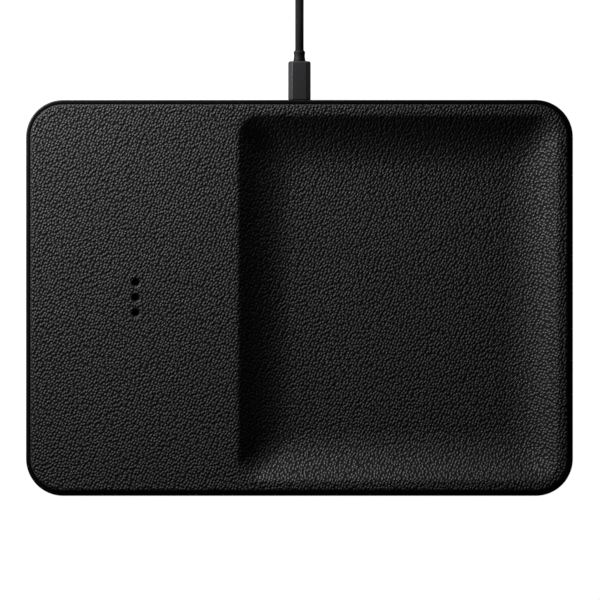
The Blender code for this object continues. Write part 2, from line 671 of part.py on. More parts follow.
def make_coil_bracket():
    """The moulded bracket that holds the ferrite in a rim and the board on two standoffs."""
    ears = rounded_outline(BRACKET_HALF, BRACKET_SCREW_INSET, CHARGE_PLACE, steps=4)
    bracket = slab("coil_bracket", [ears], BRACKET_BOTTOM, BRACKET_TOP)
    outer = rounded_outline(RIM_HALF, FERRITE_BORDER + REST_GAP + BRACKET_RIM, CHARGE_PLACE, steps=3)
    pocket = FERRITE_HALF + Vector((1, 1)) * REST_GAP
    inner = rounded_outline(pocket, FERRITE_BORDER + REST_GAP, CHARGE_PLACE, steps=3)
    rim = slab("bracket rim", [outer, inner], BRACKET_TOP - REST_GAP, FERRITE_TOP)
    apply_tool(bracket, rim, "UNION")
    standoffs = pegs("standoffs", BOARD_SCREWS, BOSS_RADIUS, STANDOFF_END, BRACKET_TOP - REST_GAP)
    apply_tool(bracket, standoffs, "UNION")
    bore_low = STANDOFF_END - REST_GAP
    apply_tool(bracket, pegs("standoff bores", BOARD_SCREWS, BORE_RADIUS, bore_low, BOARD_TIP + BORE_END))
    apply_tool(bracket, pegs("bracket bores", BRACKET_SCREWS, BORE_RADIUS, BOARD_BOTTOM, CEILING))
    slots = [(LEAD_X, across) for across in LEAD_PLACES]
    apply_tool(bracket, pegs("lead slots", slots, LEAD_RADIUS + LEAD_CLEARANCE, BOARD_BOTTOM, CEILING))
    finish(bracket, "moulded plastic", 35)


def make_main_board():
    """The main board and the parts soldered to its underside."""
    outline = rounded_outline(BOARD_HALF, BOARD_SCREW_INSET / 4, CHARGE_PLACE, steps=2)
    board = slab("main_board", [outline], BOARD_BOTTOM, BOARD_TOP)
    apply_tool(board, pegs("board bores", BOARD_SCREWS, BORE_RADIUS, 0, DECK))
    finish(board, "circuit board")
    block("controller_chip", (0, CHIP_ACROSS), (CHIP_SIZE, CHIP_SIZE, CHIP_HEIGHT), "chip resin")
    block("power_inductor", (0, INDUCTOR_ACROSS), (INDUCTOR_SIZE, INDUCTOR_SIZE, PART_HEIGHT), "ferrite")
    aside = BOARD_HALF.x - CAPACITOR_LENGTH
    for number, row in enumerate((-1, 0, 1), 1):
        size = (CAPACITOR_LENGTH, CAPACITOR_WIDTH, PART_HEIGHT)
        block(f"resonance_capacitor_{number}", (aside, row * CAPACITOR_PITCH), size, "capacitor foil")
    edge = BOARD_HALF.y - CONNECTOR_WIDTH
    block("board_connector", (0, edge), (CONNECTOR_LENGTH, CONNECTOR_WIDTH, PART_HEIGHT), "white nylon")


def block(name, place, size, finish_name):
    """A part soldered under the main board, placed from the board's middle."""
    along, across = place
    height = size[2]
    shape = bmesh.new()
    size = Matrix.Diagonal((*size, 1))
    top = BOARD_BOTTOM - REST_GAP
    place = Matrix.Translation((CHARGE_X + along, across, top - height / 2))
    bmesh.ops.create_cube(shape, size=1, matrix=place @ size)
    mesh = bpy.data.meshes.new(name)
    shape.to_mesh(mesh)
    shape.free()
    finish(bpy.data.objects.new(name, mesh), finish_name)


def make_coil_leads():
    """One lead from each coil, over the bracket's rim and down through a slot to the board."""
    starts = (
        ("coil_lead_back", LEAD_PLACES[0], LOWER_COIL + COIL_THICKNESS / 2),
        ("coil_lead_middle", LEAD_PLACES[1], UPPER_COIL + COIL_THICKNESS / 2),
        ("coil_lead_front", LEAD_PLACES[2], LOWER_COIL + COIL_THICKNESS / 2),
    )
    coil_edge = CHARGE_X - COIL_LENGTH / 2 - REST_GAP
    board_edge = CHARGE_X - BOARD_HALF.x - REST_GAP
    board_middle = BOARD_TOP - BOARD_THICKNESS / 2
    for name, across, height in starts:
        bend = LEAD_RADIUS * 1.5
        route = [
            (coil_edge, across, height),
            (LEAD_X + bend, across, height),
            (LEAD_X, across, height - bend),
            (LEAD_X, across, board_middle + bend),
            (LEAD_X + bend, across, board_middle),
            (board_edge, across, board_middle),
        ]
        tube(name, route, LEAD_RADIUS, "copper wire")


def make_port():
    """The USB-C socket on its small board, with the status light beside it."""
    mouth = PAD_HALF.y - SOCKET_RECESS
    shell = metal_cup("port_shell", SOCKET_HALF, SOCKET_WALL, SOCKET_DEPTH)
    shell.data.transform(Matrix.Translation((0, mouth - SOCKET_DEPTH, PORT_HEIGHT)))
    finish(shell, "steel", 35)

    blade_back = mouth - SOCKET_DEPTH + SOCKET_WALL + REST_GAP
    blade_half = Vector((BLADE_WIDTH, BLADE_THICKNESS)) / 2
    outline = rounded_outline(blade_half, BLADE_THICKNESS / 4, steps=1)
    blade = slab("port_tongue", [outline], blade_back, blade_back + BLADE_LENGTH, ALONG_Y)
    blade.data.transform(Matrix.Translation((0, 0, PORT_HEIGHT)))
    finish(blade, "moulded plastic")

    half = Vector((PORT_BOARD_LENGTH, PORT_BOARD_WIDTH)) / 2
    outline = rounded_outline(half, BOARD_SCREW_INSET / 4, Vector((0, PORT_BOARD_EDGE - half.y)), steps=2)
    board = slab("port_board", [outline], PORT_BOARD_BOTTOM, PORT_BOARD_TOP)
    apply_tool(board, pegs("port board bores", PORT_SCREWS, BORE_RADIUS, 0, DECK))
    finish(board, "circuit board")

    pipe_back = PORT_BOARD_EDGE - LED_DEPTH - REST_GAP
    pipe = pegs("light_pipe", [(0, 0)], LIGHT_RADIUS, pipe_back, PAD_HALF.y, turn=LIGHT_AXIS)
    finish(pipe, "clear acrylic", 40)
    led_half = Vector((LED_LENGTH, LED_DEPTH)) / 2
    led_place = Vector((LIGHT_OFFSET, pipe_back - REST_GAP - led_half.y))
    outline = rounded_outline(led_half, LED_DEPTH / 8, led_place, steps=1)
    led = slab("status_led", [outline], PORT_BOARD_TOP + REST_GAP, PORT_HEIGHT + LIGHT_RADIUS)
    finish(led, "white nylon")


def metal_cup(name, half, wall, depth):
    """A thin metal sleeve with round sides, closed at its back and open towards +Y."""
    cup = slab(name, [rounded_outline(half, half.y, steps=5)], 0, depth, ALONG_Y)
    inside = half - Vector((1, 1)) * wall
    hollow_outline = rounded_outline(inside, inside.y, steps=5)
    hollow = slab(name + " hollow", [hollow_outline], wall, depth + wall, ALONG_Y)
    cup.data = cut_mesh(cup, hollow)
    return cup


def cut_mesh(piece, tool):
    """The mesh of a piece with a helper shape cut out of it for good."""
    for part in (piece, tool):
        bpy.context.scene.collection.objects.link(part)
    modifier = piece.modifiers.new("Hollow", "BOOLEAN")
    modifier.object = tool
    modifier.solver = "EXACT"
    evaluated = piece.evaluated_get(bpy.context.evaluated_depsgraph_get())
    mesh = bpy.data.meshes.new_from_object(evaluated)
    piece.modifiers.clear()
    bpy.context.scene.collection.objects.unlink(piece)
    bpy.data.objects.remove(tool)
    return mesh


def make_plug(names, place):
    """A USB-C plug: moulded grip, metal tip and strain relief. Its cord leaves along its +Y."""
    grip_name, tip_name, relief_name = names
    half = Vector((PLUG_WIDTH, PLUG_HEIGHT)) / 2
    grip = slab(grip_name, [rounded_outline(half, PLUG_CORNER, steps=4)], 0, PLUG_LENGTH, ALONG_Y)
    bevel(grip, PLUG_EDGE, angle=60)
    tip = metal_cup(tip_name, Vector((TIP_WIDTH, TIP_HEIGHT)) / 2, TIP_WALL, TIP_LENGTH)
    tip.data.transform(Matrix.Translation((0, -REST_GAP, 0)) @ Matrix.Rotation(math.pi, 4, "Z"))
    start = PLUG_LENGTH + REST_GAP
    relief = pegs(relief_name, [(0, 0)], RELIEF_RADIUS, start, start + RELIEF_LENGTH,
                  steps=16, end_radius=RELIEF_END_RADIUS, turn=ALONG_Y)
    for piece, finish_name in ((grip, "moulded plastic"), (tip, "steel"), (relief, "moulded plastic")):
        piece.data.transform(place)
        finish(piece, finish_name, 35)


def make_wound_cord():
    """The part of the cord that is put away: a neat round coil held by a strap with a press stud."""
    inner = COIL_TURN_RADIUS - WOUND_WIDTH / 2
    outer = COIL_TURN_RADIUS + WOUND_WIDTH / 2
    profile = []
    corners = (
        (outer, WOUND_HEIGHT, 90, 0),
        (outer, 0, 0, -90),
        (inner, 0, -90, -180),
        (inner, WOUND_HEIGHT, 180, 90),
    )
    for radius, height, start, end in corners:
        middle_radius = radius + (WOUND_ROUND if radius == inner else -WOUND_ROUND)
        middle_height = height + (WOUND_ROUND if height == 0 else -WOUND_ROUND)
        for angle in arc(start, end, EDGE_STEPS):
            profile.append((middle_radius + WOUND_ROUND * math.cos(angle),
                            middle_height + WOUND_ROUND * math.sin(angle)))
    coil = turned("cord_coil", profile, ROUND_STEPS, closed=True)
    coil.location = (*COIL_PLACE, 0)
    tie_place = Matrix.Translation((*COIL_PLACE, 0)) @ Matrix.Rotation(TIE_ANGLE, 4, "Z")
    notch_half = Vector((TIE_THICKNESS + WOUND_WIDTH, TIE_WIDTH / 2 + REST_GAP))
    notch_outline = rounded_outline(notch_half, TIE_THICKNESS, Vector((COIL_TURN_RADIUS, 0)), steps=1)
    notch = slab("tie notch", [notch_outline], -REST_GAP, TIE_THICKNESS + REST_GAP, tie_place)
    apply_tool(coil, notch)
    finish(coil, "braid", 40)

    bulge = inner - math.sqrt(inner ** 2 - (TIE_WIDTH / 2) ** 2)
    near = inner - bulge - REST_GAP
    far = outer + REST_GAP
    top = WOUND_HEIGHT + REST_GAP
    loop_half = Vector((far - near, top - TIE_THICKNESS)) / 2
    centre = Vector((far + near, top + TIE_THICKNESS)) / 2
    thick = Vector((1, 1)) * TIE_THICKNESS
    outer_outline = rounded_outline(loop_half + thick, TIE_CORNER + TIE_THICKNESS, centre, steps=4)
    inner_outline = rounded_outline(loop_half, TIE_CORNER, centre, steps=4)
    half_width = TIE_WIDTH / 2
    tie = slab("cord_tie", [outer_outline, inner_outline], -half_width, half_width, tie_place @ UPRIGHT)
    finish(tie, "leather", 35)
    stud_seat = far + TIE_THICKNESS + REST_GAP
    stud_turn = tie_place @ Matrix.Translation((0, 0, centre.y)) @ Matrix.Rotation(math.radians(90), 4, "Y")
    stud = pegs("tie_stud", [(0, 0)], STUD_RADIUS, stud_seat, stud_seat + STUD_HEIGHT, 24, turn=stud_turn)
    bevel(stud, STUD_HEIGHT / 3)
    finish(stud, "steel", 40)


def make_cord():
    """The cord's loose stretches: from the plug to the coil, and from the coil to the far plug."""
    start = Vector((0, PLUG_FACE + PLUG_LENGTH + RELIEF_LENGTH + 2 * REST_GAP, PORT_HEIGHT))
    straight = start + Vector((0, CORD_STRAIGHT, 0))
    leaving = [Vector(point) * MM for point in CORD_ROUTE]
    tube("cord", smooth_route([start, straight] + leaving, CORD_SPACING), CORD_RADIUS, "braid")
    entry = Vector((0, PLUG_LENGTH + RELIEF_LENGTH + 2 * REST_GAP, 0))
    end = FAR_PLUG_FRAME @ entry
    straight = FAR_PLUG_FRAME @ (entry + Vector((0, CORD_STRAIGHT, 0)))
    tail = [Vector(point) * MM for point in TAIL_ROUTE] + [straight, end]
    tube("cord_tail", smooth_route(tail, CORD_SPACING), CORD_RADIUS, "braid")


def make_harness():
    """The wires from the port board, past the tray's corner, to the main board's connector."""
    board_middle = PORT_BOARD_TOP - PORT_BOARD_THICKNESS / 2
    port_end = PORT_BOARD_LENGTH / 2 + REST_GAP
    port_row = PORT_BOARD_EDGE - PORT_BOARD_WIDTH / 2
    lane = PAD_HALF.y - BOSS_INSET - HARNESS_LANE
    low = BOARD_BOTTOM - REST_GAP - PART_HEIGHT / 2
    connector = BOARD_HALF.y - CONNECTOR_WIDTH / 2 + REST_GAP
    route = [
        (-port_end, port_row, board_middle),
        (-port_end - HARNESS_LANE / 2, port_row, board_middle),
        (-port_end - HARNESS_LANE, port_row, board_middle),
        (LIP_LEFT, lane, low),
        (LIP_LEFT - 2 * HARNESS_LANE, lane, low),
        (CHARGE_X + HARNESS_LANE, lane - HARNESS_LANE / 2, low),
        (CHARGE_X, BRACKET_HALF.y, low),
        (CHARGE_X, connector + HARNESS_LANE / 2, low),
        (CHARGE_X, connector, low),
    ]
    tube("wiring_harness", smooth_route(route, 3 * HARNESS_RADIUS), HARNESS_RADIUS, "moulded plastic")


# Shapes that cut more than one piece: the socket's slot and the status light's bore
SOCKET_SLOT = slab(
    "socket slot", [rounded_outline(SOCKET_HALF + GAP_ROUND, SOCKET_HALF.y, steps=5)],
    PAD_HALF.y - SOCKET_RECESS - SOCKET_DEPTH - REST_GAP, PAD_HALF.y + REST_GAP, PORT_AXIS)
LIGHT_BORE = pegs(
    "light bore", [(0, 0)], LIGHT_RADIUS + LIGHT_CLEARANCE, PORT_BOARD_EDGE - SHELL_WALL,
    PAD_HALF.y + REST_GAP, turn=LIGHT_AXIS)

make_frame()
make_leather_cover()
make_top_shell()
make_base()
make_screws("base_screw", BASE_SCREWS, BASE_SEAT, BASE_TIP)
make_charging_coils()
make_coil_bracket()
make_screws("bracket_screw", BRACKET_SCREWS, BRACKET_SEAT, BRACKET_TIP)
make_main_board()
make_screws("board_screw", BOARD_SCREWS, BOARD_SEAT, BOARD_TIP)
make_coil_leads()
make_port()
make_screws("port_screw", PORT_SCREWS, PORT_SEAT, PORT_TIP)
make_harness()
make_plug(("plug_grip", "plug_tip", "plug_relief"), Matrix.Translation((0, PLUG_FACE, PORT_HEIGHT)))
make_wound_cord()
make_cord()
make_plug(("far_plug_grip", "far_plug_tip", "far_plug_relief"), FAR_PLUG_FRAME)
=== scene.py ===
# %% [markdown]
# # A leather charging pad with a tray and a braided cable
# This lesson dresses a finished mechanical model of a desk pad. The left side of the pad is a flat
# deck that charges a phone, and the right side is pressed down into a tray for keys and coins. The
# mechanical model is loaded as a fixed frame, and every visible piece is built over it with meshes,
# Geometry Nodes and node materials. Lengths are in metres: +X points to the tray, +Y to the cable.

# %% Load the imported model
import math

import bmesh
import bpy
from mathutils import Matrix, Vector


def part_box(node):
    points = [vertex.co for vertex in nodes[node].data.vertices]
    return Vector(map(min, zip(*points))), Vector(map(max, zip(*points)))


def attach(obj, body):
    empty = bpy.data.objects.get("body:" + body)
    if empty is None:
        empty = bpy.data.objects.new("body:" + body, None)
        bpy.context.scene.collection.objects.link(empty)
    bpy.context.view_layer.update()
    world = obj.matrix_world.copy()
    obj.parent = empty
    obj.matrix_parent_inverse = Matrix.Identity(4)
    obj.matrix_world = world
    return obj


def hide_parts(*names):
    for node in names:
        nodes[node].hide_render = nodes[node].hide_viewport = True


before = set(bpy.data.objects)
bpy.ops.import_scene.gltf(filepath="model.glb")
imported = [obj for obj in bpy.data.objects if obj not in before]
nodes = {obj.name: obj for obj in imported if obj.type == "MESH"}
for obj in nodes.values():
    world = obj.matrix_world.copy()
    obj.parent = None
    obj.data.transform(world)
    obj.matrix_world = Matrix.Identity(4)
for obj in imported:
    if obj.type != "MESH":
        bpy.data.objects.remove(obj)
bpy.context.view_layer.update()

MM = 0.001


def put(name, data):
    """An object for a mesh, light or camera, in the scene."""
    made = bpy.data.objects.new(name, data)
    bpy.context.scene.collection.objects.link(made)
    return made


# %% [markdown]
# ## Camera
# The pad is seen from straight above, so that its outline stays a true rectangle. A long lens from
# two metres away keeps the tray's walls from leaning, as a copy stand does.

# %% Camera
CAMERA_HEIGHT = 2.0
FRAME_WIDTH = 274.2 * MM  # what the picture spans at the height of the rim
SENSOR = 36.0

rim_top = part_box("metal_frame")[1].z
camera_data = bpy.data.cameras.new("camera")
camera_data.sensor_width = SENSOR
camera_data.lens = SENSOR * CAMERA_HEIGHT / FRAME_WIDTH
camera_data.clip_start = 0.1
camera_data.clip_end = 20
camera = put("camera", camera_data)
camera.location = (0.25 * MM, -0.96 * MM, rim_top + CAMERA_HEIGHT)
bpy.context.scene.camera = camera
bpy.context.scene.view_settings.view_transform = "Standard"
print("lens", round(camera_data.lens, 1), "mm")

# %% [markdown]
# ## Studio
# A black object on white is lit the way a product photographer lights it. The table glows like a
# backlit sheet of opal acrylic, so that no shadow falls on it. Seen by eye it is white, but it sheds
# only a little light, so the black edges stay black. A long low soft box stands close behind the pad
# on its left. It grazes the leather, so the grain shows, it falls off across the deck, and it leaves
# the tray's left wall dark. A weaker one behind the pad keeps the tray's far corner from going flat.

# %% Small helpers for materials
def colour(hex_text):
    """An sRGB hex colour as the linear values that a shader wants."""
    channels = [int(hex_text[start:start + 2], 16) / 255 for start in (1, 3, 5)]
    linear = [c / 12.92 if c <= 0.04045 else ((c + 0.055) / 1.055) ** 2.4 for c in channels]
    return (*linear, 1.0)


def connect(node, sockets):
    """Give each of a node's inputs its value, or the node or the output that feeds it."""
    for socket, source in sockets.items():
        if isinstance(source, bpy.types.Node):
            source = source.outputs[0]
        if isinstance(source, bpy.types.NodeSocket):
            node.id_data.links.new(source, node.inputs[socket])
        else:
            node.inputs[socket].default_value = source


def add(tree, kind, sockets=None, **settings):
    """Add a shader or geometry node of a kind, with its settings and its inputs."""
    node = tree.nodes.new(tree.bl_idname.removesuffix("Tree") + kind)
    for name, value in settings.items():
        setattr(node, name, value)
    connect(node, sockets or {})
    return node


def new_material(name):
    """A material with an empty Principled shader, and its tree."""
    material = bpy.data.materials.new(name)
    material.use_nodes = True
    return material, material.node_tree, material.node_tree.nodes["Principled BSDF"]


def surface(shader, pattern, tones, dull, relief, clouds=None):
    """Let a pattern drive a shader's roughness and relief, and it or clouds drive the colour."""
    tree = shader.id_data
    tint = add(tree, "Mix", {"Factor": clouds or pattern, "A": colour(tones[0]), "B": colour(tones[1])},
               data_type="RGBA")
    matt = add(tree, "MapRange", {"Value": pattern, "To Min": dull[0], "To Max": dull[1]})
    bump = add(tree, "Bump", {"Height": pattern, "Strength": relief[0], "Distance": relief[1]})
    connect(shader, {"Base Color": tint.outputs["Result"], "Roughness": matt, "Normal": bump})


def grained(name, dark, light, grain, dull, height, strength=0.4, also=None):
    """Two near tones, a fine grain of a real size, and a gloss that varies with it."""
    material, tree, shader = new_material(name)
    spot = add(tree, "TexCoord")
    fine = add(tree, "TexNoise", {"Vector": spot.outputs["Object"], "Scale": 1 / grain, "Detail": 2.0})
    surface(shader, fine, (dark, light), dull, (strength, height))
    connect(shader, also or {})
    return material


METAL = {"Metallic": 1.0}
print("helpers ready, mid grey is", round(colour("#808080")[0], 3), "as light")

# %% Table, lights and surroundings
TABLE_GLOW = 1.0
TABLE_LIGHT = 0.10  # what it adds to the pad's edges, which stay nearly black
TABLE_HALF = 3.0
TABLE_GAP = 0.05 * MM  # keeps it clear of what stands on it
opal, tree, shader = new_material("backlit opal acrylic")
ray = add(tree, "LightPath")
seen = add(tree, "MapRange", {"Value": ray.outputs["Is Camera Ray"], "To Min": TABLE_LIGHT,
                              "To Max": TABLE_GLOW})
connect(shader, {"Base Color": colour("#6A6A6A"), "Roughness": 0.9, "Specular IOR Level": 0.0,
                 "Emission Color": colour("#FFFFFF"), "Emission Strength": seen})

shape = bmesh.new()
bmesh.ops.create_grid(shape, x_segments=2, y_segments=2, size=TABLE_HALF,
                      matrix=Matrix.Translation((0, 0, -TABLE_GAP)))
table_mesh = bpy.data.meshes.new("table")
shape.to_mesh(table_mesh)
shape.free()
table_mesh.materials.append(opal)
table = put("table", table_mesh)

LIGHTS = (
    # name, azimuth and elevation in degrees, distance, width and height of the soft box, watts
    ("key", 131, 20, 0.345, 0.35, 0.08, 1.94),
    ("side", 162, 27, 0.43, 0.35, 0.12, 0.48),
)
for name, azimuth, elevation, distance, width, height, power in LIGHTS:
    light_data = bpy.data.lights.new(name, "AREA")
    light_data.shape = "RECTANGLE"
    light_data.size = width
    light_data.size_y = height
    light_data.energy = power
    light = put(name, light_data)
    turn, tilt = math.radians(azimuth), math.radians(elevation)
    towards = Vector((math.cos(turn) * math.cos(tilt), math.sin(turn) * math.cos(tilt), math.sin(tilt)))
    light.location = towards * distance
    light.rotation_euler = towards.to_track_quat("Z", "Y").to_euler()
    light.visible_camera = False

WALL_LIGHT = 0.015  # the dark room's own light
world = bpy.data.worlds.new("studio")
world.use_nodes = True
bpy.context.scene.world = world
tree = world.node_tree
tree.nodes.clear()
ray = add(tree, "LightPath")
walls = add(tree, "Background", {"Color": colour("#FFFFFF"), "Strength": WALL_LIGHT})
beyond = add(tree, "Background", {"Color": colour("#FFFFFF"), "Strength": TABLE_GLOW})
mixed = add(tree, "MixShader", {0: ray.outputs["Is Camera Ray"], 1: walls, 2: beyond})
add(tree, "OutputWorld", {"Surface": mixed})
print("lights:", [light[0] for light in LIGHTS])

# %% [markdown]
# ## Ways to make a mesh
# Most pieces here are a section carried round a rounded rectangle, or along a line. A few short
# helpers do that. Some give the points: a rounded rectangle, a circle, an arc of a section. Others
# skin a row of such rings, close them into a solid and turn it into a finished object whose place is
# in its mesh.

# %% Rings, skins and finished pieces
def outline(half, corner, centre=(0, 0), height=0.0, steps=24, inset=0.0):
    """A level rounded rectangle, anticlockwise from its right side, moved in by an inset."""
    ring = []
    for quarter, (side_x, side_y) in enumerate(((1, 1), (-1, 1), (-1, -1), (1, -1))):
        x = centre[0] + side_x * (half[0] - corner)
        y = centre[1] + side_y * (half[1] - corner)
        for step in range(steps + 1):
            turn = math.radians(90) * (quarter + step / steps)
            reach = corner - inset
            ring.append(Vector((x + reach * math.cos(turn), y + reach * math.sin(turn), height)))
    return ring


def arc(start, end, steps):
    """Angles from start to end in degrees, both included, as radians."""
    return [math.radians(start + (end - start) * step / steps) for step in range(steps + 1)]


def bend(centre, radius, start, end, steps):
    """Points of a section along an arc: how far in, and how high."""
    return [(centre[0] + radius * math.cos(turn), centre[1] + radius * math.sin(turn))
            for turn in arc(start, end, steps)]


def skin(shape, rings, closed=False):
    """Faces between rings of equal length. Returns the rows of vertices."""
    rows = [[shape.verts.new(point) for point in ring] for ring in rings]
    for row, after in zip(rows, rows[1:] + (rows[:1] if closed else [])):
        for side in range(len(row)):
            beside = (side + 1) % len(row)
            shape.faces.new((row[side], row[beside], after[beside], after[side]))
    return rows


def circle(radius, height, steps, centre=(0, 0)):
    """A level circle of points."""
    return [Vector((centre[0] + radius * math.cos(turn), centre[1] + radius * math.sin(turn), height))
            for turn in arc(0, 360, steps)[:-1]]


def solid(rings, shape=None):
    """Rings skinned in order and closed at both ends, in a new shape or in one that is given."""
    if shape is None:
        shape = bmesh.new()
    rows = skin(shape, rings)
    shape.faces.new(rows[0])
    shape.faces.new(rows[-1])
    return shape


def map_flat(shape, name, count, place):
    """A flat map on a skin whose rings have count points: place gives it from ring and point."""
    layer = shape.loops.layers.uv.new(name)
    for number, face in enumerate(shape.faces):
        row, side = divmod(number, count)
        if len(face.loops) == 4:  # the ends stay unmapped
            corners = ((row, side), (row, side + 1), (row + 1, side + 1), (row + 1, side))
            for loop, corner in zip(face.loops, corners):
                loop[layer].uv = place(*corner)


def without_doubles(ring):
    """The ring without the points that fall on the next one."""
    return [point for point, after in zip(ring, ring[1:] + ring[:1]) if (point - after).length > 1e-7]


def piece(name, shape, material, body, sharp=35, place=Matrix.Identity(4)):
    """A finished piece: merged, facing out, smooth up to an angle, riding on its body."""
    bmesh.ops.remove_doubles(shape, verts=shape.verts, dist=1e-7)
    bmesh.ops.recalc_face_normals(shape, faces=shape.faces)
    mesh = bpy.data.meshes.new(name)
    shape.to_mesh(mesh)
    shape.free()
    mesh.transform(place)
    return dress(name, mesh, material, body, sharp)


def dress(name, mesh, material, body, sharp=35):
    """An object for a mesh, with its material and body."""
    mesh.materials.clear()
    mesh.materials.append(material)
    mesh.shade_smooth()
    mesh.set_sharp_from_angle(angle=math.radians(sharp))
    made = put(name, mesh)
    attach(made, body)
    print(name, len(mesh.polygons), "faces")
    return made


# %% [markdown]
# ## Braided nylon
# The cable's sleeve is polyester or nylon yarn braided over the insulation, twelve strands each
# way. A strand is a band of fine filaments, so the sleeve is matt, with a soft gleam where a strand
# rises over another. Its colour is painted too: a little lighter on the crowns of the strands, a
# painted highlight, and near black in the gaps between them, a painted shade. The pattern follows
# the cable, so it reads a UV map whose first number is the length along the cable in metres and
# whose second is the way round it.

# %% Braid material
CORD_DIAMETER = 3.9 * MM
STRANDS_EACH_WAY = 12
LAY = 14.0 * MM  # length in which a strand goes once round

braid, tree, shader = new_material("braided nylon sleeve")
uv = add(tree, "UVMap", uv_map="along")
split = add(tree, "SeparateXYZ", {0: uv})
along = add(tree, "Math", {0: split.outputs["X"], 1: STRANDS_EACH_WAY / LAY}, operation="MULTIPLY")
round_it = add(tree, "Math", {0: split.outputs["Y"], 1: STRANDS_EACH_WAY}, operation="MULTIPLY")
right_hand = add(tree, "Math", {0: along, 1: round_it}, operation="ADD")
left_hand = add(tree, "Math", {0: along, 1: round_it}, operation="SUBTRACT")
heights = []
for own, other, swap in ((right_hand, left_hand, 0.5), (left_hand, right_hand, -0.5)):
    number = add(tree, "Math", {0: own}, operation="FLOOR")
    across = add(tree, "Math", {0: own}, operation="FRACT")
    across = add(tree, "Math", {0: across, 1: math.pi}, operation="MULTIPLY")
    crown = add(tree, "Math", {0: across}, operation="SINE")
    passed = add(tree, "Math", {0: number, 1: other}, operation="ADD")
    passed = add(tree, "Math", {0: passed, 1: math.pi, 2: -math.pi / 2}, operation="MULTIPLY_ADD")
    wave = add(tree, "Math", {0: passed}, operation="COSINE")
    over = add(tree, "Math", {0: wave, 1: swap, 2: 0.5}, operation="MULTIPLY_ADD")
    heights.append(add(tree, "Math", {0: crown, 1: over}, operation="MULTIPLY"))
strand = add(tree, "Math", {0: heights[0], 1: heights[1]}, operation="MAXIMUM")
# painted light: the strand height also paints the colour, lighter on the crowns as a painted highlight and
# near black in the gaps as a painted shade
surface(shader, strand, ("#030303", "#141415"), (0.85, 0.55), (0.9, 0.18 * MM))
connect(shader, {"Specular IOR Level": 0.12, "Sheen Weight": 0.04, "Sheen Roughness": 0.5})
print("a strand is", round(math.pi * CORD_DIAMETER / MM / STRANDS_EACH_WAY, 2), "mm wide")

# %% [markdown]
# ## Cable
# The cable is a fixed length of something springy. It leaves its plug straight, sinks to the table
# and runs away from the pad. The rest is put away in a coil of eleven turns in four layers, each
# wound back over the one below. A turn steps aside, or climbs, over a short part of its round, a
# little earlier than the turn below it, so that no stretch meets another. The tie presses the turns
# together where it holds them.

# %% The cable's path
COIL_CENTRE = Vector((25.0, 178.0, 0)) * MM
COIL_RADIUS = 25.0 * MM
TURN_PITCH = CORD_DIAMETER * 1.012  # the turns all but touch
STEP_SPAN = 40  # degrees in which a turn steps aside or climbs
FIRST_STEP = 285  # degrees wound before the first of these
COIL_TRAVEL = 3955  # degrees wound in all
TIE_AT = 240  # degrees along a turn
TIE_LIFT = 1.2 * MM  # how far the tie lifts the lowest turns off the table

OUT_OF_THE_PLUG = [
    (0.0, 113.5, 8.7), (0.0, 116.5, 8.7), (0.0, 119.0, 8.7), (0.0, 122.0, 8.45), (0.0, 125.0, 7.9),
    (0.0, 128.5, 6.7), (0.0, 132.0, 5.2), (0.0, 135.5, 3.8), (0.0, 139.0, 2.7), (0.0, 142.5, 2.1),
    (0.0, 146.0, 1.95), (0.0, 151.0, 1.95), (0.0, 156.5, 1.95), (-1.5, 162.0, 1.95),
    (-2.9, 168.0, 1.95), (-3.7, 173.0, 1.95),
]
OFF_THE_COIL = [
    (-7.4, 187.0, 11.5), (-4.7, 193.6, 9.8), (-0.7, 199.7, 8.0), (10.8, 208.5, 4.6), (23.8, 212.0, 2.4),
    (38.0, 212.0, 1.95), (46.8, 209.8, 1.95),
]
FAR_PLUG = Matrix.Translation(Vector((69.2, 180.4, 3.15)) * MM) @ Matrix.Rotation(math.radians(34), 4, "Z")


def ease(share):
    """A soft start and end between 0 and 1."""
    share = max(0.0, min(1.0, share))
    return share * share * (3 - 2 * share)


def wound_turns():
    """Points of the wound part, twenty four to a turn."""
    steps = []
    begins, inward = FIRST_STEP, -1
    for layer in range(4):
        steps += [(begins, inward * TURN_PITCH, 0), (begins + 360, inward * TURN_PITCH, 0)]
        climb = begins + 720 - STEP_SPAN
        if layer < 3:
            steps.append((climb, 0, CORD_DIAMETER))
        begins, inward = climb + 360 - STEP_SPAN, -inward
    points = []
    for travelled in range(0, COIL_TRAVEL + 1, 15):
        radius = COIL_RADIUS + TURN_PITCH
        height = CORD_DIAMETER / 2
        for start, aside, up in steps:
            done = ease((travelled - start) / STEP_SPAN)
            radius += aside * done
            height += up * done
        from_tie = abs((travelled - TIE_AT + 180) % 360 - 180)
        pressed = 1 - ease((from_tie - 12) / 26)
        height += TIE_LIFT * pressed * (1 - (height - CORD_DIAMETER / 2) / (3 * CORD_DIAMETER))
        turn = math.radians(180 - travelled)
        points.append(COIL_CENTRE + Vector((radius * math.cos(turn), radius * math.sin(turn), height)))
    return points


relief_end = 22.7 * MM  # from the far plug's face to the end of its strain relief
cord_points = [Vector(point) * MM for point in OUT_OF_THE_PLUG] + wound_turns()
cord_points += [Vector(point) * MM for point in OFF_THE_COIL]
cord_points += [FAR_PLUG @ Vector((0, relief_end + out, 0)) for out in (5.5 * MM, 2.8 * MM, 0)]
# each inner point moves a third of the way to the middle of its neighbours, as springy cable would
eased = [(before + 4 * point + after) / 6
         for before, point, after in zip(cord_points, cord_points[1:], cord_points[2:])]
cord_points = [cord_points[0], *eased, cord_points[-1]]
cord_length = sum((end - start).length for start, end in zip(cord_points, cord_points[1:]))
print("cable path:", len(cord_points), "points,", round(cord_length, 3), "m")


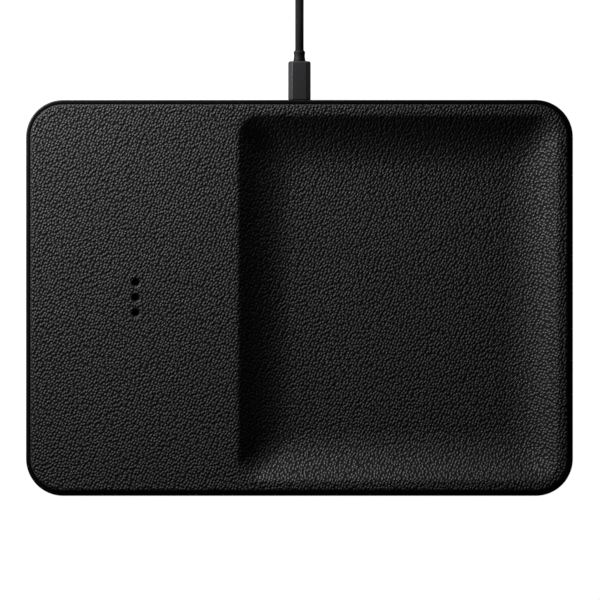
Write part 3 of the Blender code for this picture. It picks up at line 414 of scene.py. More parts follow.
# %% The cable as a tube with its own UV map
def sweep(points, radius, sides):
    """A tube along points, with the length in metres and the way round as its UV map."""
    travelled, rings, lengths = 0.0, [], []
    side = (points[1] - points[0]).normalized().orthogonal().normalized()
    for number, point in enumerate(points):
        before, after = points[max(0, number - 1)], points[min(len(points) - 1, number + 1)]
        heading = (after - before).normalized()
        side = (side - heading * side.dot(heading)).normalized()
        lift = heading.cross(side)
        travelled += (point - before).length
        lengths.append(travelled)
        rings.append([point + radius * (math.cos(turn) * side + math.sin(turn) * lift)
                      for turn in arc(0, 360, sides)[:-1]])
    shape = solid(rings)
    map_flat(shape, "along", sides, lambda row, way: (lengths[row], way / sides))
    return shape


def rounded_path(points, steps):
    """The same path with steps points to each of its legs, smooth through every given point."""
    ends = [2 * points[0] - points[1], *points, 2 * points[-1] - points[-2]]
    fine = []
    for before, start, end, after in zip(ends, ends[1:], ends[2:], ends[3:]):
        for step in range(steps):
            t = step / steps
            leave, arrive = (end - before) / 2, (after - start) / 2
            fine.append((2 * t ** 3 - 3 * t ** 2 + 1) * start + (t ** 3 - 2 * t ** 2 + t) * leave
                        + (3 * t ** 2 - 2 * t ** 3) * end + (t ** 3 - t ** 2) * arrive)
    return [*fine, points[-1]]


tube_path = rounded_path(cord_points, 3)
for point in tube_path:
    point.z = max(point.z, CORD_DIAMETER / 2)  # the table holds it up
cord = piece("braided_cord", sweep(tube_path, CORD_DIAMETER / 2, 16), braid, "cable", 60)
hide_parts("cord", "cord_coil", "cord_tail")

# %% [markdown]
# ## Pebbled leather
# The cover is chrome-tanned cowhide with an embossed pebble grain, finished nearly black. Under a
# grazing light every pebble is a small round hill with a glint on the lit side and a dark crease
# round it, and some broad patches of the hide are a little shinier. The colour also carries painted
# light: near black in the creases, a painted shade, and a little lighter on the pebble tops, a
# painted highlight. The pebbles come from a pattern of cells, 1.4 mm apart and drawn out slightly,
# with fine wrinkles over it. The grain is nearly flat in the three dents and weaker where the hide
# is stretched on the tray's wall, so an attribute on the mesh fades it there.

# %% Leather material
PEBBLE = 1.38 * MM
WRINKLE = 0.30 * MM
WAVER = 14 * MM  # how far apart the rows of pebbles bend
PATCH = 28 * MM  # size of the shinier patches

leather, tree, shader = new_material("pebble-grain leather")
hide = add(tree, "UVMap", uv_map="hide")
spot = add(tree, "TexCoord")
turned = add(tree, "Mapping", {"Vector": hide, "Rotation": (0, 0, math.radians(-24)),
                               "Scale": (0.97, 1.07, 1.0)}, vector_type="TEXTURE")
waver = add(tree, "TexNoise", {"Vector": hide, "Scale": 1 / WAVER, "Detail": 1.0}, noise_dimensions="2D")
shift = add(tree, "VectorMath", {0: waver.outputs["Color"], 1: (1.2 * MM, 1.2 * MM, 0), 2: turned},
            operation="MULTIPLY_ADD")
cells = add(tree, "TexVoronoi", {"Vector": shift, "Scale": 1 / PEBBLE, "Randomness": 0.64,
                                 "Smoothness": 0.12}, feature="SMOOTH_F1", voronoi_dimensions="2D")
rounding = add(tree, "Math", {0: cells.outputs["Distance"], 1: cells.outputs["Distance"]},
               operation="MULTIPLY")
dome = add(tree, "MapRange", {"Value": rounding, "From Min": 0.0, "From Max": 0.36,
                              "To Min": 1.0, "To Max": 0.0})
tallness = add(tree, "SeparateColor", {0: cells.outputs["Color"]})
tallness = add(tree, "MapRange", {"Value": tallness, "To Min": 0.7, "To Max": 1.0})
hill = add(tree, "Math", {0: dome, 1: tallness}, operation="MULTIPLY")
wrinkles = add(tree, "TexNoise", {"Vector": spot.outputs["Object"], "Scale": 1 / WRINKLE, "Detail": 3.0,
                                  "Roughness": 0.6})
grain = add(tree, "Math", {0: wrinkles, 1: 0.16, 2: hill}, operation="MULTIPLY_ADD")
pressed = add(tree, "Attribute", attribute_name="pressed")
free = add(tree, "MapRange", {"Value": pressed.outputs["Fac"], "To Min": 1.0, "To Max": 0.12})
grain = add(tree, "Math", {0: grain, 1: free}, operation="MULTIPLY")
relief = add(tree, "Bump", {"Height": grain, "Strength": 1.0, "Distance": 0.60 * MM})
patches = add(tree, "TexNoise", {"Vector": spot.outputs["Object"], "Scale": 1 / PATCH, "Detail": 2.0})
# painted light: the colour is near black in the creases, a painted shade, and lighter towards each pebble's
# top, a painted highlight
painted_crease_shade = add(tree, "Math", {0: dome, 1: 1.5}, operation="POWER")
tint = add(tree, "Mix", {"Factor": painted_crease_shade, "A": colour("#010101"), "B": colour("#1C1C1D")},
           data_type="RGBA")
gloss = add(tree, "MapRange", {"Value": dome, "To Min": 0.95, "To Max": 0.36})
gloss = add(tree, "Math", {0: patches, 1: 0.10, 2: gloss}, operation="MULTIPLY_ADD")
burnished = add(tree, "Math", {0: pressed.outputs["Fac"], 1: -0.25, 2: gloss}, operation="MULTIPLY_ADD")
connect(shader, {"Base Color": tint.outputs["Result"], "Roughness": burnished, "Normal": relief,
                 "IOR": 1.5})
print("pebbles of", PEBBLE / MM, "mm, wrinkles of", WRINKLE / MM, "mm")

# %% [markdown]
# ## Leather cover
# One skin of leather is glued over the whole moulding: round the pad's edge, over the deck and down
# into the tray. The deck is truly flat, so it is one filled face between the edge and the tray's
# lip, with the dents let into it. Narrow flat rings beside every curve keep the shading of the flat
# parts flat. The tray's wall is a tight arc out of the lip, a short straight slope and a wide arc
# into the floor. The corners tighten on the way down, which is where the fold lines come from. The
# dents are stamped nearly through the hide, so only there its thickness shrinks.

# %% Sizes of the cover
cover_low, cover_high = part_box("leather_cover")
bracket_low, bracket_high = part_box("coil_bracket")
DECK = cover_high.z
COVER_HALF = Vector((cover_high.x, cover_high.y))
COVER_CORNER = 15.0 * MM
LEATHER = 1.3 * MM
EDGE_ROUND = 1.5 * MM
TRAY_HALF = Vector((74.1, 84.7)) * MM
TRAY_CENTRE = Vector((bracket_high.x + 8.2 * MM + TRAY_HALF.x, 0))
TRAY_CORNER = 9.5 * MM
TRAY_TIGHTENING = 0.15  # how much the corner's radius loses on the way in
TRAY_DEPTH = 10.0 * MM
WALL_RUN = 26.0 * MM
LIP_RADIUS = 3.6 * MM
SLOPE = 36  # degrees of the wall's straight middle
wall_sine, wall_cosine = math.sin(math.radians(SLOPE)), math.cos(math.radians(SLOPE))
# the two arcs and the straight middle together make up the wall's run and depth
FLOOR_RADIUS = (WALL_RUN * wall_sine - TRAY_DEPTH * wall_cosine) / (1 - wall_cosine) - LIP_RADIUS
GUARD = 0.5 * MM  # width of the flat rings beside a curve
CORNER_STEPS = 28
STRETCH = 0.4  # how much the grain flattens halfway down the tray's wall
CHARGE_X = (bracket_low.x + bracket_high.x) / 2
DENT_RADIUS = 1.95 * MM
DENT_DEPTH = 1.0 * MM
DENT_ROLL = 0.28 * MM
DENT_WALL = 76  # degrees of the wall's slope
DENT_PITCH = 6.9 * MM
print("deck at", round(DECK / MM, 2), "mm, radius into the tray's floor", round(FLOOR_RADIUS / MM, 1), "mm")


# %% Leather cover
def inside_edge(inset, height):
    """The cover's outline, moved in and set at a height."""
    half = COVER_HALF - Vector((inset, inset))
    return outline(half, COVER_CORNER - inset, (0, 0), height, CORNER_STEPS)


def inside_lip(run, drop):
    """The tray's outline, moved in from the lip and down from the deck."""
    half = TRAY_HALF - Vector((run, run))
    return outline(half, TRAY_CORNER - TRAY_TIGHTENING * run, TRAY_CENTRE, DECK - drop, CORNER_STEPS)


shape = bmesh.new()
pressed_layer = shape.verts.layers.float.new("pressed")
edge_rings = [inside_edge(0, cover_low.z), inside_edge(0, DECK - EDGE_ROUND - GUARD)]
edge_rings += [inside_edge(inset, height)
               for inset, height in bend((EDGE_ROUND, DECK - EDGE_ROUND), EDGE_ROUND, 180, 90, 10)]
edge_rings.append(inside_edge(EDGE_ROUND + GUARD, DECK))
edge_rows = skin(shape, edge_rings)

# Heights in this section count downwards from the deck
wall_section = bend((0, LIP_RADIUS), LIP_RADIUS, -90, SLOPE - 90, 10)
wall_section += bend((WALL_RUN, TRAY_DEPTH - FLOOR_RADIUS), FLOOR_RADIUS, 90 + SLOPE, 90, 26)
lip_rings = [inside_lip(-GUARD, 0)] + [inside_lip(run, drop) for run, drop in wall_section]
lip_rings.append(inside_lip(WALL_RUN + GUARD, TRAY_DEPTH))
lip_rows = skin(shape, lip_rings)
shape.faces.new(lip_rows[-1])

# A dent: over a small roll, down a steep wall and round into a flat floor
dent_section = [(DENT_RADIUS + GUARD, 0), (DENT_RADIUS + DENT_ROLL, 0)]
dent_section += bend((DENT_RADIUS + DENT_ROLL, DENT_ROLL), DENT_ROLL, -90, -90 - DENT_WALL, 5)[1:]
foot_radius = DENT_RADIUS - DENT_DEPTH / math.tan(math.radians(DENT_WALL))
dent_section += bend((foot_radius, DENT_DEPTH - DENT_ROLL), DENT_ROLL, 90 + DENT_WALL, 90, 4)
dent_rows = []
for number in (-1, 0, 1):
    centre = (CHARGE_X, DENT_PITCH * number)
    rows = skin(shape, [without_doubles(outline((r, r), r, centre, DECK - depth, 10))
                        for r, depth in dent_section])
    shape.faces.new(rows[-1])
    dent_rows.append(rows)

borders = [shape.edges.get((start, end)) or shape.edges.new((start, end))
           for row in [edge_rows[-1], lip_rows[0]] + [rows[0] for rows in dent_rows]
           for start, end in zip(row, row[1:] + row[:1])]
bmesh.ops.triangle_fill(shape, edges=borders, use_beauty=True, normal=(0, 0, 1))
for rows in dent_rows:
    for depth, row in enumerate(rows):
        for vertex in row:
            vertex[pressed_layer] = min(1.0, depth / 2)
for depth, row in enumerate(lip_rows):
    for vertex in row:  # the hide stretches down the tray's wall, which flattens its grain
        vertex[pressed_layer] = STRETCH * math.sin(math.pi * depth / (len(lip_rows) - 1)) ** 0.5

# The hide laid flat again: seen from above, with the turned-down edge unrolled outwards
unrolled = {vertex: vertex.co.xy for vertex in shape.verts}
travelled = 0.0
for row, above in zip(edge_rows[-2::-1], edge_rows[:0:-1]):
    travelled += (row[0].co - above[0].co).length
    for vertex, point in zip(row, inside_edge(EDGE_ROUND + GUARD - travelled, 0)):
        unrolled[vertex] = point.xy
flat_map = shape.loops.layers.uv.new("hide")
for face in shape.faces:
    for loop in face.loops:
        loop[flat_map].uv = unrolled[loop.vert]
cover = piece("leather_skin", shape, leather, "pad", 60)
thinned = cover.vertex_groups.new(name="full thickness")
for vertex, value in zip(cover.data.vertices, cover.data.attributes["pressed"].data):
    sunk = DECK - vertex.co.z if value.value >= 0.5 else 0  # only the dents are pressed thin
    thinned.add([vertex.index], 1 - sunk / LEATHER, "REPLACE")
wall = cover.modifiers.new("Leather thickness", "SOLIDIFY")
wall.thickness = LEATHER
wall.vertex_group = thinned.name
wall.offset = -1
wall.use_even_offset = True
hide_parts("leather_cover")

# %% [markdown]
# ## Painted shade in the dents
# Each dent's floor carries a thin black disc, dead matt, that paints the dent's shade. So each dent
# reads as a crisp black dot with a glint on the burnished wall that faces the light, where a flat
# floor of leather would shine like the deck.

# %% Discs of painted shade in the dents
# painted shade: a dead matt black disc on each dent's floor stands in for the dent's shade
dent_shade_paint = grained("matt black painted dent shade", "#000000", "#070707", 0.2 * MM, (0.85, 1.0), 0.02 * MM,
               0.3, {"Specular IOR Level": 0.02})
SHADE_DISC_THICKNESS = 0.08 * MM
shape = bmesh.new()
for number in (-1, 0, 1):
    centre, floor = (CHARGE_X, DENT_PITCH * number), DECK - DENT_DEPTH
    solid([circle(foot_radius - inset * MM, floor + rise, 40, centre)
           for inset, rise in ((0.1, 0.01 * MM), (0.02, SHADE_DISC_THICKNESS * 0.6), (0.06, SHADE_DISC_THICKNESS))], shape)
piece("dent_painted_shade", shape, dent_shade_paint, "pad")

# %% [markdown]
# ## Anodised frame
# The rim is an aluminium frame, milled, bead blasted and anodised black. The blast leaves a fine
# even grain, so it is satin rather than shiny, and its tone varies a little in broad clouds.
# It is a section carried round the pad: the foot and the top edge are rounded, and a flange inside
# carries the moulding.

# %% Anodised aluminium
anodised, tree, shader = new_material("bead-blasted black anodised aluminium")
spot = add(tree, "TexCoord")
blast = add(tree, "TexNoise", {"Vector": spot.outputs["Object"], "Scale": 1 / (0.25 * MM), "Detail": 2.0})
cloud = add(tree, "TexNoise", {"Vector": spot.outputs["Object"], "Scale": 1 / (35 * MM), "Detail": 3.0})
surface(shader, blast, ("#2A2A2D", "#38383B"), (0.34, 0.46), (0.35, 0.02 * MM), cloud)
connect(shader, METAL)

# %% Metal frame
frame_low, frame_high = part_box("metal_frame")
WALL = 1.7 * MM
PAD_HALF = Vector((frame_high.x, frame_high.y))
PAD_CORNER = 17.0 * MM
FOOT_ROUND = 1.0 * MM
TOP_ROUND = 0.6 * MM
INNER_ROUND = 0.2 * MM
FLANGE_LOW, FLANGE_HIGH, FLANGE_IN = 3.3 * MM, 4.8 * MM, 5.5 * MM
SOCKET_HALF = Vector((4.825, 1.9)) * MM
PORT_HEIGHT = (frame_low.z + frame_high.z) / 2
PIPE_LOW, PIPE_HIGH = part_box("light_pipe")
PIPE_ROOM = 0.2 * MM


def cut(target, tool):
    """The target's mesh with a helper shape cut out of it for good."""
    mesh = bpy.data.meshes.new("tool")
    bmesh.ops.recalc_face_normals(tool, faces=tool.faces)
    tool.to_mesh(mesh)
    tool.free()
    cutter = put("tool", mesh)
    modifier = target.modifiers.new("Cut", "BOOLEAN")
    modifier.object = cutter
    modifier.solver = "EXACT"
    graph = bpy.context.evaluated_depsgraph_get()
    target.data = bpy.data.meshes.new_from_object(target.evaluated_get(graph))
    target.modifiers.clear()
    bpy.data.objects.remove(cutter)
    target.data.set_sharp_from_angle(angle=math.radians(35))


def through_back_wall(half, corner, centre_x):
    """A helper shape with a rounded section that passes through the frame's back wall."""
    ring = without_doubles(outline(half, corner, (0, 0), 0, 8))
    return solid([[Vector((centre_x + p.x, y, PORT_HEIGHT + p.y)) for p in ring]
                  for y in (PAD_HALF.y - 4 * MM, PAD_HALF.y + 1 * MM)])


section = bend((FOOT_ROUND, frame_low.z + FOOT_ROUND), FOOT_ROUND, 270, 180, 8)
section += [(0, frame_low.z + FOOT_ROUND + GUARD), (0, frame_high.z - TOP_ROUND - GUARD)]
section += bend((TOP_ROUND, frame_high.z - TOP_ROUND), TOP_ROUND, 180, 90, 8)
section += bend((WALL - INNER_ROUND, frame_high.z - INNER_ROUND), INNER_ROUND, 90, 0, 4)
section += [(WALL, FLANGE_HIGH), (FLANGE_IN, FLANGE_HIGH), (FLANGE_IN, FLANGE_LOW), (WALL, FLANGE_LOW),
            (WALL, frame_low.z)]
rings = [outline(PAD_HALF, PAD_CORNER, (0, 0), height, 32, inset) for inset, height in section]
shape = bmesh.new()
skin(shape, rings, closed=True)
rim = piece("anodised_frame", shape, anodised, "pad")
cut(rim, through_back_wall(SOCKET_HALF, SOCKET_HALF.y, 0))
pipe_radius = (PIPE_HIGH.x - PIPE_LOW.x) / 2 + PIPE_ROOM
cut(rim, through_back_wall((pipe_radius, pipe_radius), pipe_radius, (PIPE_LOW.x + PIPE_HIGH.x) / 2))
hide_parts("metal_frame")
print("frame", len(rim.data.polygons), "faces")

# %% [markdown]
# ## Plug
# The plug's grip is moulded over the metal tip, in a satin black plastic with the fine spark-eroded
# texture of its mould. It is six-sided: two broad faces, and a sloping pair down each long side that
# catches the light. Behind it, a short waisted sleeve of softer elastomer spreads the cable's bend.
# The tip is a drawn and nickel-plated sleeve.

# %% Plug materials
# The grip's plastic is satin, with a hint of texture
moulded = grained("soft-touch moulded plastic", "#2A2A2B", "#343436", 0.2 * MM, (0.24, 0.34), 0.03 * MM,
                  0.3)
# The strain relief is a softer elastomer: matt and nearly black
elastomer = grained("matt thermoplastic elastomer", "#0B0B0C", "#161617", 0.3 * MM, (0.55, 0.7), 0.03 * MM,
                    also={"Specular IOR Level": 0.2})
# Nickel over steel: bright, with drawing marks along the tip
nickel, tree, shader = new_material("nickel-plated steel")
spot = add(tree, "TexCoord")
drawn = add(tree, "Mapping", {"Vector": spot.outputs["Object"], "Scale": (1.0, 0.08, 1.0)})
lines = add(tree, "TexNoise", {"Vector": drawn, "Scale": 1 / (0.15 * MM), "Detail": 2.0})
surface(shader, lines, ("#B9B8B4", "#D2D1CE"), (0.18, 0.3), (0.15, 0.01 * MM))
connect(shader, METAL)

# %% The plug's three pieces
GRIP_HALF = Vector((5.2, 3.15)) * MM
GRIP_FACE = 3.3 * MM  # half the width of its flat top
GRIP_EDGES = (0.5 * MM, 1.2 * MM)  # rounding beside the flat faces, and along the sides
LEAST_ROUND = 0.05 * MM
FRONT_ROUND, REAR_ROUND = 0.4 * MM, 1.0 * MM
GRIP_LENGTH = 17.8 * MM
TIP_HALF = Vector((4.125, 1.2)) * MM
TIP_LENGTH = 6.65 * MM
TIP_WALL = 0.3 * MM
REST_GAP = 0.3 * MM
RELIEF_LENGTH = 4.3 * MM
RELIEF_RADIUS = 2.75 * MM
RELIEF_WAIST = 0.2 * MM
SEAT = 0.05 * MM  # how far the relief goes into the grip
AXIS = 0.001 * MM  # the innermost ring of a turned piece
LYING = Matrix.Rotation(math.radians(-90), 4, "X")  # what is built upwards points along +Y


def grip_ring(shrink, height, steps=6):
    """The grip's section, six-sided with rounded edges, moved in by shrink."""
    lean = math.atan2(GRIP_HALF.x - GRIP_FACE, GRIP_HALF.y)  # of a side from upright
    side = GRIP_HALF.x + GRIP_EDGES[1] * (1 / math.cos(lean) - 1)
    lean = math.atan2(side - GRIP_FACE, GRIP_HALF.y)
    ring = []
    normals = [lean, math.pi / 2, math.pi - lean, math.pi + lean, 1.5 * math.pi, math.tau - lean]
    edges = [(GRIP_FACE, GRIP_HALF.y), (-GRIP_FACE, GRIP_HALF.y), (-side, 0), (-GRIP_FACE, -GRIP_HALF.y),
             (GRIP_FACE, -GRIP_HALF.y), (side, 0)]
    for start, end, edge in zip(normals, normals[1:] + [math.tau + lean], edges):
        radius = GRIP_EDGES[1] if edge[1] == 0 else GRIP_EDGES[0]
        half_turn = (end - start) / 2
        bisector = Vector((math.cos(start + half_turn), math.sin(start + half_turn))) / math.cos(half_turn)
        out = max(radius - shrink, LEAST_ROUND)
        spare = max(0.0, shrink - radius)  # once the rounding is used up, the edge itself moves in
        middle = Vector(edge) - bisector * (radius + spare)
        for step in range(steps + 1):
            turn = start + (end - start) * step / steps
            ring.append(Vector((middle.x + out * math.cos(turn), middle.y + out * math.sin(turn), height)))
    return ring


def make_plug(names, place):
    """Grip, tip and strain relief. The cable leaves along +Y of the place."""
    rings = [grip_ring(FRONT_ROUND * (1 - math.sin(turn)), FRONT_ROUND * (1 - math.cos(turn)))
             for turn in arc(0, 90, 6)]
    rings += [grip_ring(REAR_ROUND * (1 - math.cos(turn)), GRIP_LENGTH - REAR_ROUND * (1 - math.sin(turn)))
              for turn in arc(0, 90, 10)]
    grip = piece(names[0] + "_moulding", solid(rings), moulded, "cable", 50, place @ LYING)
    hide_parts(names[0])

    inner = TIP_HALF - Vector((TIP_WALL, TIP_WALL))
    rings = []
    for half, shrink, height in (
            (TIP_HALF, 0, -REST_GAP), (TIP_HALF, 0, 0.15 * MM - TIP_LENGTH),
            (TIP_HALF, 0.05 * MM, 0.04 * MM - TIP_LENGTH), (TIP_HALF, 0.15 * MM, -TIP_LENGTH),
            (inner, 0, -TIP_LENGTH), (inner, 0, -REST_GAP - TIP_WALL)):
        rings.append(outline(half, half.y, (0, 0), height - REST_GAP, 8, shrink))
    tip = piece(names[1] + "_sleeve", solid(rings), nickel, "cable", 35, place @ LYING)
    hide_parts(names[1])

    mouth = GRIP_LENGTH + REST_GAP + RELIEF_LENGTH
    section = [(AXIS, GRIP_LENGTH - SEAT), (RELIEF_RADIUS, GRIP_LENGTH - SEAT)]
    for step in range(9):
        share = step / 8
        waist = RELIEF_WAIST * math.sin(math.pi * share)
        section.append((RELIEF_RADIUS - 0.1 * MM * share - waist,
                        GRIP_LENGTH + REST_GAP + 0.2 * MM + share * (RELIEF_LENGTH - 0.8 * MM)))
    section += [(2.62 * MM, mouth - 0.3 * MM), (2.45 * MM, mouth - 0.08 * MM), (2.3 * MM, mouth),
                (2.1 * MM, mouth + REST_GAP), (AXIS, mouth + REST_GAP)]
    rings = [circle(radius, height, 32) for radius, height in section]
    sleeve = piece(names[2] + "_sleeve", solid(rings), elastomer, "cable", 35,
                   place @ LYING)
    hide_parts(names[2])
    return grip, tip, sleeve


NEAR_PLUG = Matrix.Translation((0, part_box("plug_grip")[0].y, PORT_HEIGHT))
near_pieces = make_plug(("plug_grip", "plug_tip", "plug_relief"), NEAR_PLUG)
far_pieces = make_plug(("far_plug_grip", "far_plug_tip", "far_plug_relief"), FAR_PLUG)

# %% [markdown]
# ## Silicone mat
# The pad stands on a thin mat of black silicone, pressed in a mould and glued under the base. A
# plain rim seals its edge. Inside it, small round studs reach down to the table and give when they
# are loaded, which keeps the pad from sliding. The studs repeat on a grid, so Geometry Nodes place
# them: one stud is put on every point of a grid, made real and given its material.

# %% Silicone
# Silicone is matt and a little dusty, with the fine blast of its steel mould
silicone = grained("pressed silicone rubber", "#161617", "#262628", 0.4 * MM, (0.6, 0.8), 0.04 * MM)


# %% Helpers for Geometry Nodes
def new_tree(name, inputs):
    """A geometry tree with named inputs, each of a kind."""
    tree = bpy.data.node_groups.new(name, "GeometryNodeTree")
    for label, kind in {"Geometry": "Geometry", **inputs}.items():
        tree.interface.new_socket(label, in_out="INPUT", socket_type="NodeSocket" + kind)
    tree.interface.new_socket("Geometry", in_out="OUTPUT", socket_type="NodeSocketGeometry")
    return tree, tree.nodes.new("NodeGroupInput").outputs


def close_tree(tree, geometry, material):
    """Make instances real, set the material and pass the result out."""
    real = add(tree, "RealizeInstances", {"Geometry": geometry})
    dressed = add(tree, "SetMaterial", {"Geometry": real, "Material": material})
    connect(tree.nodes.new("NodeGroupOutput"), {0: dressed})


def grow(name, tree, inputs, start=None):
    """Run a tree on a mesh, or on nothing, and return the result as a plain mesh."""
    holder = put(name + "_start", start or bpy.data.meshes.new(name + "_start"))
    modifier = holder.modifiers.new("Grow", "NODES")
    modifier.node_group = tree
    for item in tree.interface.items_tree:
        if item.in_out == "INPUT" and item.name in inputs:
            modifier[item.identifier] = inputs[item.name]
    graph = bpy.context.evaluated_depsgraph_get()
    mesh = bpy.data.meshes.new_from_object(holder.evaluated_get(graph))
    mesh.name = name
    bpy.data.objects.remove(holder)
    return mesh


# %% Geometry Nodes: studs on a grid
studs_tree, given = new_tree("studs on a grid", {
    "Length": "Float", "Width": "Float", "Count along": "Int", "Count across": "Int",
    "Foot radius": "Float", "Root radius": "Float", "Height": "Float", "Material": "Material"})
grid = add(studs_tree, "MeshGrid", {
    "Size X": given["Length"], "Size Y": given["Width"],
    "Vertices X": given["Count along"], "Vertices Y": given["Count across"]})
stud = add(studs_tree, "MeshCone", {
    "Vertices": 12, "Radius Top": given["Root radius"], "Radius Bottom": given["Foot radius"],
    "Depth": given["Height"]})
copies = add(studs_tree, "InstanceOnPoints", {"Points": grid, "Instance": stud})
close_tree(studs_tree, copies, given["Material"])

# %% Mat and studs
MAT_BAND = 5.0 * MM  # width of the plain rim
MAT_MARGIN = 0.8 * MM
MAT_TOP_ROUND, MAT_FOOT_ROUND = 0.4 * MM, 0.35 * MM
STUD_DROP = 0.3 * MM
STUD_PITCH = 5.0 * MM

mat_low, mat_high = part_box("base_mat")
MAT_HALF = Vector((mat_high.x, mat_high.y))
MAT_CORNER = PAD_CORNER - WALL - MAT_MARGIN
section = [(0.6 * MM, mat_high.z)]
section += bend((MAT_TOP_ROUND, mat_high.z - MAT_TOP_ROUND), MAT_TOP_ROUND, 90, 180, 5)
section += bend((MAT_FOOT_ROUND, mat_low.z + MAT_FOOT_ROUND), MAT_FOOT_ROUND, 180, 270, 5)
section += [(MAT_BAND - 0.2 * MM, mat_low.z), (MAT_BAND, mat_low.z + 0.06 * MM),
            (MAT_BAND + 0.2 * MM, mat_low.z + STUD_DROP), (MAT_BAND + 0.6 * MM, mat_low.z + STUD_DROP)]
rings = [outline(MAT_HALF, MAT_CORNER, (0, 0), height, 16, inset) for inset, height in section]
mat = piece("silicone_mat", solid(rings), silicone, "pad")
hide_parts("base_mat")

field = MAT_HALF - Vector((1, 1)) * (MAT_BAND + STUD_PITCH)
along, across = int(2 * field.x / STUD_PITCH), int(2 * field.y / STUD_PITCH)
stud_mesh = grow("mat_studs", studs_tree, {
    "Length": along * STUD_PITCH, "Width": across * STUD_PITCH, "Count along": along + 1,
    "Count across": across + 1, "Foot radius": 0.9 * MM, "Root radius": 1.15 * MM,
    "Height": STUD_DROP + 0.02 * MM, "Material": silicone})
stud_mesh.transform(Matrix.Translation((0, 0, mat_low.z)))
dress("mat_studs", stud_mesh, silicone, "pad")
print("studs:", along + 1, "by", across + 1)

# %% [markdown]
# ## Charging coils
# A charging coil is litz wire, many enamelled strands in one bundle, wound flat from the outside in.
# Copper shows through the enamel, so it is a warm metal under a thin clear gloss. A winding follows
# a path, so a short loop lays the path, a rounded rectangle that shrinks steadily, and Geometry
# Nodes run the wire's round section along it.

# %% Enamelled copper
litz, tree, shader = new_material("enamelled litz copper")
spot = add(tree, "TexCoord")
strands = add(tree, "TexWave", {"Vector": spot.outputs["Object"], "Scale": 1 / (2.4 * MM),
                                "Distortion": 4.0, "Detail": 1.0}, bands_direction="DIAGONAL")
surface(shader, strands.outputs["Fac"], ("#8A4A24", "#D98B52"), (0.28, 0.45), (0.5, 0.05 * MM))
connect(shader, {"Metallic": 1.0, "Coat Weight": 0.4})

# %% Geometry Nodes: wire along a path
wire_tree, given = new_tree("wire along a path", {
    "Wire radius": "Float", "Sides": "Int", "Material": "Material"})
path = add(wire_tree, "MeshToCurve", {0: given["Geometry"]})
profile = add(wire_tree, "CurvePrimitiveCircle",
              {"Resolution": given["Sides"], "Radius": given["Wire radius"]})
wire = add(wire_tree, "CurveToMesh", {"Curve": path, "Profile Curve": profile, "Fill Caps": True})
close_tree(wire_tree, wire, given["Material"])

# %% Windings
COIL_BAND = 12.5 * MM
COIL_CORNER = 17.0 * MM
COIL_TURNS = 10
WIRE_RADIUS = 0.56 * MM
LAP_STEPS = 5  # in each rounded corner
for name in ("charging_coil_back", "charging_coil_front", "charging_coil_middle"):
    low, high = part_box(name)
    centre = (low + high) / 2
    half = Vector((high.x - low.x, high.y - low.y)) / 2
    count = COIL_TURNS * 4 * (LAP_STEPS + 1)
    laid = []
    for number in range(count):
        inset = WIRE_RADIUS + (COIL_BAND - 2 * WIRE_RADIUS) * number / (count - 1)
        ring = outline(half, COIL_CORNER, centre, centre.z, LAP_STEPS, inset)
        laid.append(ring[number % len(ring)])
    path_mesh = bpy.data.meshes.new(name + "_path")
    path_mesh.from_pydata(laid, [(step, step + 1) for step in range(len(laid) - 1)], [])
    wound = grow(name + "_winding", wire_tree,
                 {"Wire radius": WIRE_RADIUS, "Sides": 8, "Material": litz}, path_mesh)
    winding = dress(name + "_winding", wound, litz, "pad", 60)
    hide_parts(name)

# %% [markdown]
# ## Tie
# The coil of cable is held by a strap of the same leather, closed with a press stud. It is a flat
# loop with skived, rounded edges: one section carried round a tall rounded rectangle. Its own flat
# map, the length round the loop and the width across it, lets the pebble grain follow the strap.

# %% Leather tie
TIE_THICK = 0.9 * MM
TIE_HALF_WIDTH = 4.5 * MM
TIE_EDGE = 0.25 * MM  # radius of the skived edges
TIE_BEND = 0.6 * MM  # inside radius at the loop's corners
WOUND_HALF = 6.0 * MM  # half the width of the wound turns
WOUND_TOP = 15.6 * MM
TIE_PLACE = Matrix.Translation(COIL_CENTRE) @ Matrix.Rotation(math.radians(-60), 4, "Z")
UPRIGHT = Matrix.Rotation(math.pi / 2, 4, "X")

wound_inside = COIL_RADIUS - WOUND_HALF
loop_near = math.sqrt(wound_inside ** 2 - TIE_HALF_WIDTH ** 2) - REST_GAP
loop_far = COIL_RADIUS + WOUND_HALF + REST_GAP
loop_centre = Vector((loop_near + loop_far, WOUND_TOP + REST_GAP + TIE_THICK)) / 2
loop_half = Vector((loop_far - loop_near, WOUND_TOP + REST_GAP - TIE_THICK)) / 2
strap = []  # the section: how far out from the loop's inside, and where across the strap
for side_out, side_across, start in ((1, 1, 0), (0, 1, 90), (0, -1, 180), (1, -1, 270)):
    middle = TIE_THICK - TIE_EDGE if side_out else TIE_EDGE
    strap += bend((middle, side_across * (TIE_HALF_WIDTH - TIE_EDGE)), TIE_EDGE, start, start + 90, 3)
rings = [outline(loop_half, TIE_BEND, loop_centre, across, 6, -out) for out, across in strap]
shape = bmesh.new()
skin(shape, rings, closed=True)
ring = outline(loop_half, TIE_BEND, loop_centre, 0, 6)
loop_travel, strap_travel = [0.0], [0.0]
for path, travel in ((ring, loop_travel), (strap, strap_travel)):
    for start, end in zip(path, path[1:] + path[:1]):
        travel.append(travel[-1] + math.dist(start, end))
map_flat(shape, "hide", len(ring), lambda row, way: (loop_travel[way], strap_travel[row]))
tie = piece("leather_tie", shape, leather, "cable", 60, TIE_PLACE @ UPRIGHT)
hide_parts("cord_tie")

